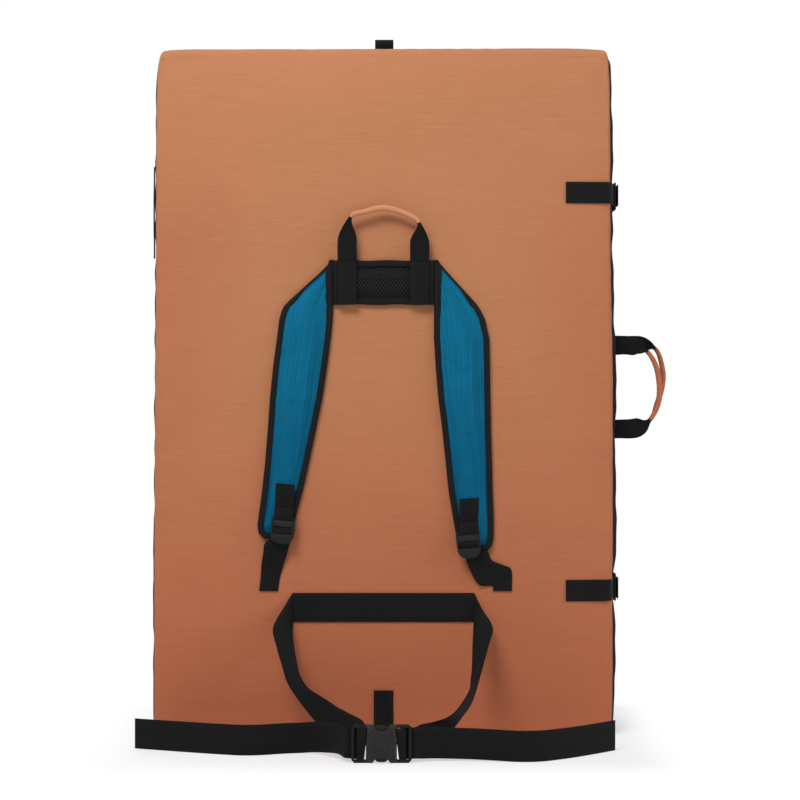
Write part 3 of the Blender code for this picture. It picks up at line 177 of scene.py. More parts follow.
# An adjuster's bar and tongue: their top and bottom below the pivot, half their width at each, and the
# rounding of their lower corners
ADJUSTER_PLATES = {
    "bar": (0.0024, 0.0102, 0.0127, 0.0127, 0),
    "tongue": (0.0200, 0.0324, 0.0154, 0.0132, 0.0090),
}
# The buckle's socket: where the edge of its mouth starts, and how far that moves towards the other half
MOUTH_EDGE = 0.0159
MOUTH_SHIFT = 0.00025
# A pad's flat sewn edge, and the width over which its front climbs from there
FLANGE = 0.0065
CLIMB = 0.012
# How far the middle of a tape's fold lies in from the edge of its solid
TAPE_EDGE = 0.0013
# How far a row of stitches lies in from the edge, and half the thickness of its thread
STITCH_INSET = 0.0026
THREAD_HALF = 0.0003
# The camera's place, across and up
CAMERA_ACROSS = 0.0215
CAMERA_UP = 0.4397
# Moulded and metal pieces: the body, the width of their eased edges, and the slot
FITTINGS = {
    "buckle_female": ("hip_belt", 0.0007, "moulded_plastic"),
    "buckle_male": ("buckle_male", 0.0007, "moulded_plastic"),
    "release_prong_upper": ("release_upper", 0.0005, "moulded_plastic"),
    "release_prong_lower": ("release_lower", 0.0005, "moulded_plastic"),
    "ladder_lock_left": ("ladder_lock_left", 0.0003, "moulded_plastic"),
    "ladder_lock_right": ("ladder_lock_right", 0.0003, "moulded_plastic"),
    "closure_hook_upper": ("closure_upper", 0.0003, "hook_metal"),
    "closure_hook_lower": ("closure_lower", 0.0003, "hook_metal"),
}


class PadFabrics(bpy.types.PropertyGroup):
    """Colours of the pad's stock, as they render under plain light."""

    orange: bpy.props.FloatVectorProperty(
        name="Orange cover", description="Lighter colour of the outer panel's cloth", subtype="COLOR",
        default=(0.515, 0.215, 0.100), min=0, max=1)
    orange_shade: bpy.props.FloatVectorProperty(
        name="Orange shade", description="Darker threads of the outer panel's cloth", subtype="COLOR",
        default=(0.420, 0.160, 0.070), min=0, max=1)
    black: bpy.props.FloatVectorProperty(
        name="Black cover", description="Cloth of the walls, rear and landing panels", subtype="COLOR",
        default=(0.0115, 0.0115, 0.0122), min=0, max=1)
    webbing: bpy.props.FloatVectorProperty(
        name="Webbing", description="Woven straps and their tape", subtype="COLOR",
        default=(0.0052, 0.0052, 0.0056), min=0, max=1)
    blue: bpy.props.FloatVectorProperty(
        name="Blue cloth", description="Lighter colour of the shoulder straps' front", subtype="COLOR",
        default=(0.0016, 0.128, 0.248), min=0, max=1)
    blue_shade: bpy.props.FloatVectorProperty(
        name="Blue shade", description="Darker ribs of the shoulder straps' front", subtype="COLOR",
        default=(0.0008, 0.066, 0.140), min=0, max=1)
    plastic: bpy.props.FloatVectorProperty(
        name="Moulded plastic", description="Buckle and strap adjusters", subtype="COLOR",
        default=(0.0142, 0.0142, 0.0152), min=0, max=1)
    metal: bpy.props.FloatVectorProperty(
        name="Hook metal", description="Black plating of the closure hooks", subtype="COLOR",
        default=(0.045, 0.045, 0.047), min=0, max=1)
    foam: bpy.props.FloatVectorProperty(
        name="Core foam", description="Soft open-cell core", subtype="COLOR",
        default=(0.60, 0.55, 0.40), min=0, max=1)
    deck: bpy.props.FloatVectorProperty(
        name="Deck foam", description="Firm closed-cell deck", subtype="COLOR",
        default=(0.09, 0.09, 0.10), min=0, max=1)


class PadSizes(bpy.types.PropertyGroup):
    """Sizes of the dressing. The pad's own sizes come from its frame."""

    cover_step: bpy.props.FloatProperty(
        name="Cover grid", description="Distance between points of the covers", subtype="DISTANCE",
        default=0.012, min=0.006, max=0.03)
    cover_thickness: bpy.props.FloatProperty(
        name="Cover cloth", description="Thickness of the cover cloth", subtype="DISTANCE",
        default=0.0012, min=0.0005, max=0.003)
    cover_play: bpy.props.FloatProperty(
        name="Cover play", description="How far the cover cloth may lift off its foam", subtype="DISTANCE",
        default=0.0035, min=0.0, max=0.01)
    strap_play: bpy.props.FloatProperty(
        name="Strap play", description="How far the padded straps may swell", subtype="DISTANCE",
        default=0.002, min=0.0, max=0.01)
    web_step: bpy.props.FloatProperty(
        name="Webbing step", description="Distance between rows of points along the webbing",
        subtype="DISTANCE", default=0.004, min=0.001, max=0.02)
    stitch_pitch: bpy.props.FloatProperty(
        name="Stitch pitch", description="Distance from one stitch to the next", subtype="DISTANCE",
        default=0.0034, min=0.002, max=0.008)


class PadStudio(bpy.types.PropertyGroup):
    """The camera, the floor and the lights."""

    distance: bpy.props.FloatProperty(
        name="Camera distance", description="From the camera to the harness face", subtype="DISTANCE",
        default=2.3, min=1, max=10)
    lens: bpy.props.FloatProperty(
        name="Lens", description="Focal length on a 36 mm sensor", subtype="DISTANCE_CAMERA",
        default=79.3, min=20, max=300)
    key: bpy.props.FloatProperty(
        name="Key light", description="Power of the large soft light above the front", subtype="POWER",
        default=54, min=0, max=500)
    fill: bpy.props.FloatProperty(
        name="World light", description="Strength of the even light from all round",
        default=0.25, min=0, max=2)
    floor: bpy.props.FloatVectorProperty(
        name="Floor", description="Colour of the floor", subtype="COLOR",
        default=(0.94, 0.94, 0.94), min=0, max=1)


def fabrics():
    return bpy.context.scene.pad_fabrics


def sizes():
    return bpy.context.scene.pad_sizes


def studio():
    return bpy.context.scene.pad_studio


# Picking and finishing objects


def clear_picks():
    if bpy.context.object and bpy.context.object.mode != "OBJECT":
        bpy.ops.object.mode_set(mode="OBJECT")
    for item in list(bpy.context.selected_objects):
        item.select_set(False)


def pick(item):
    """Makes an object the only one selected, and the active one."""
    clear_picks()
    item.hide_viewport = False
    item.select_set(True)
    bpy.context.view_layer.objects.active = item


def added(name):
    """The object that the last operator added, under its name."""
    item = bpy.context.object
    item.name = name
    item.data.name = name
    return item


def mesh_step(item, change):
    """Runs a function in edit mode with the whole mesh selected."""
    pick(item)
    bpy.ops.object.mode_set(mode="EDIT")
    bpy.ops.mesh.select_all(action="SELECT")
    change()
    bpy.ops.object.mode_set(mode="OBJECT")


def choose(item, kind, test):
    """In edit mode, selects the faces, edges or points that pass a test, and nothing else."""
    bpy.ops.mesh.select_mode(type=kind)
    bpy.ops.mesh.select_all(action="DESELECT")
    bm = bmesh.from_edit_mesh(item.data)
    for part in {"FACE": bm.faces, "EDGE": bm.edges, "VERT": bm.verts}[kind]:
        if test(part):
            part.select_set(True)
    bmesh.update_edit_mesh(item.data)


def apply_modifier(item, kind, **values):
    pick(item)
    change = item.modifiers.new(kind.title(), kind)
    for key, value in values.items():
        setattr(change, key, value)
    bpy.ops.object.modifier_apply(modifier=change.name)


def finish_piece(item, finish, smooth=40):
    """Gives a finished mesh its material and its shading."""
    item.data.materials.clear()
    item.data.materials.append(finish)
    pick(item)
    bpy.ops.object.shade_smooth_by_angle(angle=math.radians(smooth))
    clear_picks()
    return item


def points_of(item):
    co = np.zeros(len(item.data.vertices) * 3)
    item.data.vertices.foreach_get("co", co)
    return co.reshape(-1, 3)


def set_points(item, co):
    item.data.vertices.foreach_set("co", np.asarray(co, float).ravel())
    item.data.update()


def settle(item, held, pressure, slack, limit, sink=0.0005, frames=18):
    """Lets cloth swell and pucker over its filling. Each point is held to its place by its own share, moves
    no further than a limit, and sinks into the filling no deeper than another."""
    if limit <= 0:
        return
    rest = points_of(item)
    outward = np.array([tuple(v.normal) for v in item.data.vertices])
    group = item.vertex_groups.new(name="held")
    for index, weight in enumerate(held):
        group.add([index], float(weight), "REPLACE")
    pick(item)
    cloth = item.modifiers.new("Cloth", "CLOTH")
    cloth.settings.quality = 4
    cloth.settings.mass = 0.25
    cloth.settings.use_pressure = True
    cloth.settings.uniform_pressure_force = pressure
    cloth.settings.shrink_min = -slack
    cloth.settings.vertex_group_mass = group.name
    cloth.settings.pin_stiffness = 0.6
    cloth.settings.effector_weights.gravity = 0
    cloth.point_cache.frame_start = 1
    cloth.point_cache.frame_end = frames
    for step in range(1, frames + 1):
        bpy.context.scene.frame_set(step)
    shape = item.evaluated_get(bpy.context.evaluated_depsgraph_get())
    moved = np.zeros(len(rest) * 3)
    shape.data.vertices.foreach_get("co", moved)
    shift = moved.reshape(-1, 3) - rest
    rise = (shift * outward).sum(axis=1)
    shift += outward * (np.clip(rise, -sink, limit) - rise)[:, None]
    length = np.linalg.norm(shift, axis=1)
    shift *= (np.minimum(length, limit) / np.maximum(length, 1e-9))[:, None]
    item.modifiers.remove(cloth)
    bpy.context.scene.frame_set(1)
    item.vertex_groups.clear()
    set_points(item, rest + shift)


# Materials


def add_node(tree, kind, inputs=(), **settings):
    """A shader node. Each input is a number, a colour or vector, or another node's output to link."""
    node = tree.nodes.new(kind)
    for key, value in settings.items():
        setattr(node, key, value)
    for key, value in dict(inputs).items():
        if isinstance(value, bpy.types.NodeSocket):
            tree.links.new(value, node.inputs[key])
        else:
            node.inputs[key].default_value = value
    return node


def math_node(tree, operation, *values, clamp=False):
    node = add_node(tree, "ShaderNodeMath", enumerate(values), operation=operation, use_clamp=clamp)
    return node.outputs[0]


def summed(tree, *parts, clamp=False):
    """The sum of several values, each times its own share. Clamped, the sum is kept between 0 and 1."""
    total = math_node(tree, "MULTIPLY", *parts[0])
    for number, part in enumerate(parts[1:], 2):
        last = number == len(parts)
        total = math_node(tree, "ADD", total, math_node(tree, "MULTIPLY", *part), clamp=clamp and last)
    return total


def smooth_band(tree, value, low, high):
    """0 below low and 1 above high, with a soft change between them."""
    node = add_node(tree, "ShaderNodeMapRange", {"Value": value, "From Min": low, "From Max": high},
                    interpolation_type="SMOOTHSTEP")
    return node.outputs["Result"]


def falling_band(tree, value, low, high):
    """1 below low and 0 above high, with a soft change between them."""
    return math_node(tree, "SUBTRACT", 1.0, smooth_band(tree, value, low, high))


def toned(colour, share):
    """A colour made darker or paler by a share."""
    return [c * share for c in colour]


def blend_colours(tree, share, first, second, blend_type="MIX"):
    """Two colours mixed by a share. Each of the three is a value or another node's output."""
    node = add_node(tree, "ShaderNodeMix", data_type="RGBA", blend_type=blend_type)
    for key, value in ((0, share), (6, first), (7, second)):
        if isinstance(value, bpy.types.NodeSocket):
            tree.links.new(value, node.inputs[key])
        else:
            node.inputs[key].default_value = value if key == 0 else (*value[:3], 1.0)
    return node.outputs[2]


def tinted(tree, share, colour, tint):
    """A colour multiplied by a tint, by a share."""
    return blend_colours(tree, share, colour, tint, "MULTIPLY")


def effect(name, numbers, results, build):
    """A node group shared by several finishes. It takes a place and some numbers, and gives numbers back."""
    group = bpy.data.node_groups.get(name)
    if group is None:
        group = bpy.data.node_groups.new(name, "ShaderNodeTree")
        add_socket = group.interface.new_socket
        add_socket("Place", in_out="INPUT", socket_type="NodeSocketVector")
        for title, value in numbers.items():
            add_socket(title, in_out="INPUT", socket_type="NodeSocketFloat").default_value = value
        for title in results:
            add_socket(title, in_out="OUTPUT", socket_type="NodeSocketFloat")
        build(group, group.nodes.new("NodeGroupInput"), group.nodes.new("NodeGroupOutput"))
    return group


def group_node(tree, group, **inputs):
    return add_node(tree, "ShaderNodeGroup", inputs, node_tree=group)


def woven(tree, where, across, along):
    """Threads over and under: where is a vector in metres, across and along are the thread widths."""
    def build(group, given, result):
        parts = add_node(group, "ShaderNodeSeparateXYZ", {0: given.outputs["Place"]})
        waves = []
        for axis, pitch in ((0, "Across"), (1, "Along")):
            turn = math_node(group, "DIVIDE", parts.outputs[axis], given.outputs[pitch])
            waves.append(math_node(group, "SINE", math_node(group, "MULTIPLY", turn, math.pi)))
        over = smooth_band(group, math_node(group, "MULTIPLY", waves[0], waves[1]), -0.1, 0.1)
        ribs = [math_node(group, "ABSOLUTE", wave) for wave in waves]
        mixed = add_node(group, "ShaderNodeMix", {0: over, 2: ribs[0], 3: ribs[1]})
        group.links.new(mixed.outputs[0], result.inputs["Height"])
        fine = {"Vector": given.outputs["Place"], "Scale": 900, "Detail": 2}
        loose = add_node(group, "ShaderNodeTexNoise", fine)
        group.links.new(loose.outputs["Fac"], result.inputs["Fuzz"])

    group = effect("Woven threads", {"Across": 0.001, "Along": 0.001}, ("Height", "Fuzz"), build)
    return group_node(tree, group, Place=where, Across=across, Along=along)


def streaks(tree, where, stretch, scale, detail=3.0):
    """Long thin variations, as slubs in a thread: stretch is the scale along each axis."""
    placed = add_node(tree, "ShaderNodeMapping", {"Vector": where, "Scale": stretch})
    noise = add_node(tree, "ShaderNodeTexNoise",
                     {"Vector": placed.outputs[0], "Scale": scale, "Detail": detail, "Roughness": 0.6})
    return noise.outputs["Fac"]


def honeycomb(tree, where, pitch, rise):
    """Distance from the nearest hole of a knitted mesh, as a share of the pitch."""
    def build(group, given, result):
        parts = add_node(group, "ShaderNodeSeparateXYZ", {0: given.outputs["Place"]})
        found = []
        for offset in (0.0, 0.5):
            axes = []
            for axis, size in ((0, "Pitch"), (2, "Rise")):
                share = math_node(group, "DIVIDE", parts.outputs[axis], given.outputs[size])
                moved = math_node(group, "ADD", share, offset)
                near = math_node(group, "SUBTRACT", math_node(group, "FRACT", moved), 0.5)
                axes.append(math_node(group, "MULTIPLY", near, near))
            found.append(math_node(group, "SQRT", math_node(group, "ADD", axes[0], axes[1])))
        group.links.new(math_node(group, "MINIMUM", found[0], found[1]), result.inputs["Distance"])

    group = effect("Knitted holes", {"Pitch": 0.0045, "Rise": 0.005}, ("Distance",), build)
    return group_node(tree, group, Place=where, Pitch=pitch, Rise=rise).outputs["Distance"]


def new_finish(name, roughness, sheen=0.0, specular=0.5, metallic=0.0):
    """A material with its plain values on the shader. Gives back its tree and shader too."""
    finish = bpy.data.materials.new(name)
    finish.use_nodes = True
    shader = finish.node_tree.nodes["Principled BSDF"]
    shader.inputs["Roughness"].default_value = roughness
    shader.inputs["Sheen Weight"].default_value = sheen
    shader.inputs["Sheen Roughness"].default_value = 0.5
    shader.inputs["Specular IOR Level"].default_value = specular
    shader.inputs["Metallic"].default_value = metallic
    return finish, finish.node_tree, shader


def bump(tree, shader, height, distance, strength=1.0):
    node = add_node(tree, "ShaderNodeBump", {"Height": height, "Distance": distance, "Strength": strength})
    tree.links.new(node.outputs[0], shader.inputs["Normal"])


def object_place(tree):
    return tree.nodes.new("ShaderNodeTexCoord").outputs["Object"]


def flat_place(tree):
    """Object coordinates turned so that X and Z are the first two."""
    x, y, z = add_node(tree, "ShaderNodeSeparateXYZ", {0: object_place(tree)}).outputs
    return add_node(tree, "ShaderNodeCombineXYZ", {0: x, 1: z, 2: y}).outputs[0]


def uv_place(tree):
    return add_node(tree, "ShaderNodeUVMap", uv_map="UVMap").outputs[0]


def orange_cloth(name="orange_cloth", tint=None):
    """Coated cloth with uneven weft threads that run across the pad. A grip's cloth is laid out along it, and
    has one tint all over."""
    finish = bpy.data.materials.get(name)
    if finish:
        return finish
    finish, tree, shader = new_finish(name, 0.78, sheen=0.03, specular=0.2)
    place = uv_place(tree) if tint else flat_place(tree)
    threads = streaks(tree, place, (22, 640, 7), 1.0, 3.0)
    slubs = streaks(tree, place, (30, 560, 7), 1.0, 2.0)
    faint = streaks(tree, place, (1.6, 3, 1.6), 1.0)
    weave = woven(tree, place, 0.0011, 0.0011)
    thick = smooth_band(tree, slubs, 0.62, 0.70)
    thin = falling_band(tree, slubs, 0.32, 0.40)
    shade = summed(
        tree, (smooth_band(tree, threads, 0.3, 0.7), 0.24), (smooth_band(tree, faint, 0.3, 0.7), 0.30),
        (weave.outputs["Height"], -0.10), (thick, 0.25), (thin, -0.55), clamp=True)
    colours = fabrics()
    colour = blend_colours(tree, shade, colours.orange, colours.orange_shade)
    if tint:
        colour = tinted(tree, 1.0, colour, tint)
    else:
        # Painted shade: deeper and redder low down and towards the sides below the top, where less of the light
        # from above falls
        parts = add_node(tree, "ShaderNodeSeparateXYZ", {0: place})
        low = falling_band(tree, parts.outputs[1], 0.02, 0.62)
        side = smooth_band(tree, math_node(tree, "ABSOLUTE", parts.outputs[0]), 0.12, 0.30)
        high = falling_band(tree, parts.outputs[1], 0.60, 0.85)
        side = math_node(tree, "MULTIPLY", math_node(tree, "MULTIPLY", side, high), 0.55)
        colour = tinted(tree, math_node(tree, "MAXIMUM", low, side), colour, SHADE_AND_GRIP_TINT)
    tree.links.new(colour, shader.inputs["Base Color"])
    height = math_node(tree, "ADD", weave.outputs["Height"], math_node(tree, "MULTIPLY", thick, 0.8))
    bump(tree, shader, height, 0.00012)
    return finish


def black_cloth(seamed=False):
    """Heavy black cloth with a square weave. A seamed panel has a row of stitches round its edge."""
    name = "black_cloth_seamed" if seamed else "black_cloth"
    finish = bpy.data.materials.get(name)
    if finish:
        return finish
    finish, tree, shader = new_finish(name, 0.80, specular=0.06)
    place = object_place(tree)
    parts = add_node(tree, "ShaderNodeSeparateXYZ", {0: place})
    spread = math_node(tree, "ADD", parts.outputs[0], parts.outputs[1])
    wall = add_node(tree, "ShaderNodeCombineXYZ", {0: spread, 1: parts.outputs[2]}).outputs[0]
    weave = woven(tree, wall, 0.0013, 0.0013)
    worn = smooth_band(tree, streaks(tree, place, (4, 4, 4), 3.0, 5.0), 0.3, 0.8)
    light = summed(tree, (weave.outputs["Height"], 0.7), (worn, 0.22), clamp=True)
    base = fabrics().black
    colour = blend_colours(tree, light, toned(base, 0.55), toned(base, 2.0))
    height = weave.outputs["Height"]
    if seamed:
        flat = add_node(tree, "ShaderNodeCombineXYZ", {0: parts.outputs[0], 1: parts.outputs[2]}).outputs[0]
        mask = stitched(tree, flat, 0.2915, 0.893, 10.0, sizes().stitch_pitch * 1.3)
        colour = blend_colours(tree, mask, colour, toned(base, 5))
        height = math_node(tree, "ADD", height, math_node(tree, "MULTIPLY", mask, 1.6))
    tree.links.new(colour, shader.inputs["Base Color"])
    bump(tree, shader, height, 0.00022)
    return finish


def webbing_weave(name="webbing_weave", pitch=0.0016, lift=1.0, seams=None):
    """Flat nylon webbing: ribs along it, crossed by a tight weft, rubbed paler here and there."""
    finish = bpy.data.materials.get(name)
    if finish:
        return finish
    finish, tree, shader = new_finish(name, 0.68, specular=0.10)
    place = uv_place(tree)
    weave = woven(tree, place, pitch, pitch * 0.7)
    rubbed = streaks(tree, place, (60, 9, 1), 1.0)
    light = summed(
        tree, (weave.outputs["Height"], 0.55), (smooth_band(tree, rubbed, 0.4, 0.75), 0.35),
        (weave.outputs["Fuzz"], 0.2), clamp=True)
    base = toned(fabrics().webbing, lift)
    colour = blend_colours(tree, light, toned(base, 0.75), toned(base, 1.9))
    height = weave.outputs["Height"]
    if seams:
        mask = stitched(tree, place, *seams, sizes().stitch_pitch)
        colour = blend_colours(tree, mask, colour, toned(base, 3.2))
        height = math_node(tree, "ADD", height, math_node(tree, "MULTIPLY", mask, 1.8))
    tree.links.new(colour, shader.inputs["Base Color"])
    bump(tree, shader, height, 0.00025)
    return finish


def stitched(tree, place, half, length, reach, pitch):
    """Lock stitches near the edges and across the ends of a sewn strap, as a mask."""
    def build(group, given, result):
        parts = add_node(group, "ShaderNodeSeparateXYZ", {0: given.outputs["Place"]})
        aside = math_node(group, "ABSOLUTE", parts.outputs[0])
        from_edge = math_node(group, "SUBTRACT", given.outputs["Half"], aside)
        rest = math_node(group, "SUBTRACT", given.outputs["Length"], parts.outputs[1])
        from_end = math_node(group, "MINIMUM", parts.outputs[1], rest)
        inner = math_node(group, "SUBTRACT", given.outputs["Reach"], from_end)
        inside = math_node(group, "MULTIPLY", smooth_band(group, from_edge, 0.0019, 0.0022),
                           smooth_band(group, from_end, 0.0023, 0.0026))
        rows = []
        for distance, along in ((from_edge, 1), (from_end, 0), (inner, 0)):
            off = math_node(group, "ABSOLUTE", math_node(group, "SUBTRACT", distance, STITCH_INSET))
            line = falling_band(group, off, THREAD_HALF, THREAD_HALF * 2)
            turn = math_node(group, "DIVIDE", parts.outputs[along], given.outputs["Pitch"])
            wave = math_node(group, "SINE", math_node(group, "MULTIPLY", turn, 2 * math.pi))
            rows.append(math_node(group, "MULTIPLY", line, smooth_band(group, wave, -0.6, -0.2)))
        either = math_node(group, "MAXIMUM", math_node(group, "MAXIMUM", rows[0], rows[1]), rows[2])
        within = smooth_band(group, inner, 0.0015, 0.0019)
        both = math_node(group, "MULTIPLY", math_node(group, "MULTIPLY", either, inside), within)
        group.links.new(both, result.inputs["Mask"])

    numbers = {"Half": 0.0125, "Length": 0.1, "Reach": 0.02, "Pitch": 0.0034}
    group = effect("Lock stitches", numbers, ("Mask",), build)
    mask = group_node(tree, group, Place=place, Half=half, Length=length, Reach=reach, Pitch=pitch)
    return mask.outputs["Mask"]


def tape_weave():
    """Thin edge tape, paler than the straps and more finely woven."""
    return webbing_weave("tape_weave", 0.0009, 1.6)


def sewn_webbing(node, half, length, reach):
    """Webbing with lock stitches round its sewn ends."""
    return webbing_weave(f"sewn_webbing_{node}", seams=(half, length, min(reach, length)))


def spacer_knit():
    """Black spacer mesh: rows of small holes between paler threads."""
    finish = bpy.data.materials.get("spacer_knit")
    if finish:
        return finish
    finish, tree, shader = new_finish("spacer_knit", 0.8, specular=0.15)
    place = object_place(tree)
    distance = honeycomb(tree, place, 0.0045, 0.0064)
    thread = smooth_band(tree, distance, 0.20, 0.33)
    knots = smooth_band(tree, distance, 0.36, 0.46)
    base = fabrics().webbing
    ground = blend_colours(tree, thread, toned(base, 0.35), toned(base, 1.2))
    colour = blend_colours(tree, knots, ground, toned(base, 9))
    tree.links.new(colour, shader.inputs["Base Color"])
    bump(tree, shader, thread, 0.0009)
    return finish


def blue_cloth():
    """Ribbed stretch cloth: fine uneven ribs down the strap."""
    finish = bpy.data.materials.get("blue_cloth")
    if finish:
        return finish
    finish, tree, shader = new_finish("blue_cloth", 0.75, specular=0.08)
    place = uv_place(tree)
    ribs = streaks(tree, place, (680, 7, 1), 1.0, 2.0)
    tone = streaks(tree, place, (18, 5, 1), 1.0)
    weave = woven(tree, place, 0.0012, 0.0009)
    shade = summed(
        tree, (smooth_band(tree, ribs, 0.36, 0.64), 0.62), (smooth_band(tree, tone, 0.3, 0.7), 0.42),
        (weave.outputs["Height"], -0.2), clamp=True)
    colours = fabrics()
    colour = blend_colours(tree, shade, colours.blue, colours.blue_shade)
    # Painted highlight: paler towards the shoulders, where the strap turns up to the light above
    height = add_node(tree, "ShaderNodeSeparateXYZ", {0: object_place(tree)}).outputs[2]
    colour = tinted(tree, smooth_band(tree, height, 0.28, 0.58), colour, (2.2, 1.42, 1.32))
    tree.links.new(colour, shader.inputs["Base Color"])
    bump(tree, shader, math_node(tree, "ADD", weave.outputs["Height"], ribs), 0.00016)
    return finish


def foam_cells(name, colour, size):
    """Cut foam with open cells."""
    finish = bpy.data.materials.get(name)
    if finish:
        return finish
    finish, tree, shader = new_finish(name, 0.95, specular=0.15)
    cells = add_node(tree, "ShaderNodeTexVoronoi", {"Vector": object_place(tree), "Scale": 1 / size})
    pits = smooth_band(tree, cells.outputs["Distance"], 0.1, 0.6)
    tree.links.new(blend_colours(tree, pits, toned(colour, 0.6), colour), shader.inputs["Base Color"])
    bump(tree, shader, pits, size / 2)
    return finish


def moulded_plastic(framed):
    """Black acetal with a fine spark-eroded grain. On the buckle's halves the grain stops short of the frames
    at the ends, which are left glossy and darker."""
    name = "moulded_plastic_framed" if framed else "moulded_plastic_grain"
    finish = bpy.data.materials.get(name)
    if finish:
        return finish
    finish, tree, shader = new_finish(name, 0.42, specular=0.20)
    place = object_place(tree)
    grain = add_node(tree, "ShaderNodeTexNoise", {"Vector": place, "Scale": 2600, "Detail": 3})
    handled = streaks(tree, place, (90, 90, 90), 1.0)
    edges = add_node(tree, "ShaderNodeNewGeometry").outputs["Pointiness"]
    worn = smooth_band(tree, edges, 0.53, 0.62)
    light = summed(tree, (smooth_band(tree, handled, 0.4, 0.7), 0.2), (worn, 0.5), clamp=True)
    base = toned(fabrics().plastic, 1 if framed else 0.5)
    colour = blend_colours(tree, light, base, toned(base, 2.4))
    if framed:
        across = add_node(tree, "ShaderNodeSeparateXYZ", {0: place}).outputs[0]
        off = math_node(tree, "ABSOLUTE", math_node(tree, "ADD", across, 0.0008))
        colour = blend_colours(tree, smooth_band(tree, off, 0.0178, 0.0192), colour, toned(base, 0.2))
    tree.links.new(colour, shader.inputs["Base Color"])
    rough = math_node(tree, "ADD", math_node(tree, "MULTIPLY", grain.outputs["Fac"], 0.12), 0.36)
    tree.links.new(rough, shader.inputs["Roughness"])
    bump(tree, shader, grain.outputs["Fac"], 0.00004)
    return finish


def hook_steel():
    """Black plated steel with light scratches."""
    finish = bpy.data.materials.get("hook_steel")
    if finish:
        return finish
    finish, tree, shader = new_finish("hook_steel", 0.38, metallic=1.0)
    place = object_place(tree)
    brushed = streaks(tree, place, (60, 60, 1800), 1.0, 4.0)
    spots = add_node(tree, "ShaderNodeTexNoise", {"Vector": place, "Scale": 420, "Detail": 5})
    base = fabrics().metal
    tree.links.new(blend_colours(tree, spots.outputs["Fac"], toned(base, 0.75), toned(base, 1.25)),
                   shader.inputs["Base Color"])
    rough = math_node(tree, "ADD", math_node(tree, "MULTIPLY", brushed, 0.25), 0.28)
    tree.links.new(rough, shader.inputs["Roughness"])
    bump(tree, shader, brushed, 0.00005)
    return finish


# Webbing, tape and grips: a grid wrapped round rows of points


def spans(points):
    """The distance from each point to the next."""
    return np.linalg.norm(np.diff(points, axis=0), axis=1)


def run(points):
    """How far along a line of points each of them lies."""
    return np.concatenate([[0], np.cumsum(spans(points))])


def eased(share):
    """A share from 0 to 1, with a soft start and end."""
    return share * share * (3 - 2 * share)


def skin(name, rings, across, closed=False):
    """A closed tube through rings of points. Its UV map holds metres, with one value across for each point."""
    rows = [list(ring) for ring in rings] + ([list(rings[0])] if closed else [])
    count, last = len(rows[0]), len(rows) - 1
    clear_picks()
    bpy.ops.mesh.primitive_grid_add(x_subdivisions=count, y_subdivisions=last, size=2)
    item = added(name)
    flat = points_of(item)
    i = np.rint((flat[:, 0] + 1) / 2 * count).astype(int)
    j = np.rint((flat[:, 1] + 1) / 2 * last).astype(int)
    table = np.array([[tuple(p) for p in row] for row in rows])
    set_points(item, table[j, i % count])
    length = run(table.mean(axis=1))
    wrap = np.append(across, across[0])
    layer = item.data.uv_layers["UVMap"]
    uv = np.zeros(len(layer.data) * 2)
    layer.data.foreach_get("uv", uv)
    uv = uv.reshape(-1, 2)
    ui, vj = np.rint(uv[:, 0] * count).astype(int), np.rint(uv[:, 1] * last).astype(int)
    layer.data.foreach_set("uv", np.stack([wrap[ui], length[vj]], axis=1).ravel())

    def close():
        bpy.ops.mesh.remove_doubles(threshold=0.000001)
        if not closed:
            bpy.ops.mesh.select_all(action="SELECT")
            bpy.ops.mesh.fill_holes(sides=0)
        bpy.ops.mesh.select_all(action="SELECT")
        bpy.ops.mesh.normals_make_consistent(inside=False)

    mesh_step(item, close)
    return item


def corner_rows(node, toward):
    """Rows of four corners along a CAD strap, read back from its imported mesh, from the end that lies farthest
    in one direction. Each row runs along one edge and back along the other."""
    bm = bmesh.new()
    bm.from_mesh(frame["nodes"][node].data)
    bmesh.ops.remove_doubles(bm, verts=bm.verts, dist=0.000002)
    toward = Vector(toward)
    first = sorted(bm.verts, key=lambda v: -v.co.dot(toward))[:4]
    start = first[0]
    mate, beside, opposite = sorted(first[1:], key=lambda v: (v.co - start.co).length)
    if (beside.co - start.co).length > (opposite.co - start.co).length:
        beside, opposite = opposite, beside
    row = [start, beside, opposite, mate]
    seen = set(row)
    rows = [[v.co.copy() for v in row]]
    while True:
        near = {e.other_vert(v) for v in row for e in v.link_edges} - seen
        if len(near) != 4:
            break
        row = min(itertools.permutations(near),
                  key=lambda new: sum((a.co - b.co).length for a, b in zip(row, new)))
        seen |= set(row)
        rows.append([v.co.copy() for v in row])
    left = len(bm.verts) - len(seen)
    bm.free()
    if left:
        raise RuntimeError(f"{node}: {left} corners were not reached")
    return rows


def smooth_rows(rows, step):
    """Adds rows on smooth curves between given rows of points, a step apart or less."""
    rows = np.array([[tuple(p) for p in row] for row in rows], float)
    span = spans(rows.mean(axis=1))
    ways = np.diff(rows, axis=0) / np.maximum(span, 1e-9)[:, None, None]
    turns = np.empty_like(rows)
    turns[0], turns[-1] = ways[0], ways[-1]
    before, after = span[:-1, None, None], span[1:, None, None]
    turns[1:-1] = (ways[:-1] * after + ways[1:] * before) / (before + after)
    made = []
    for k, length in enumerate(span):
        count = max(1, math.ceil(length / step))
        for t in np.arange(count) / count:
            a, b = (1 + 2 * t) * (1 - t) ** 2, t * t * (3 - 2 * t)
            c, d = t * (1 - t) ** 2 * length, t * t * (t - 1) * length
            made.append(a * rows[k] + b * rows[k + 1] + c * turns[k] + d * turns[k + 1])
    made.append(rows[-1])
    return np.array(made)


def unit(vectors):
    return vectors / np.maximum(np.linalg.norm(vectors, axis=-1, keepdims=True), 1e-12)


def strip_edges(rows):
    """The two edges of a strap at each row of four corners, midway through its thickness."""
    return [[(row[0] + row[3]) / 2, (row[1] + row[2]) / 2] for row in rows]


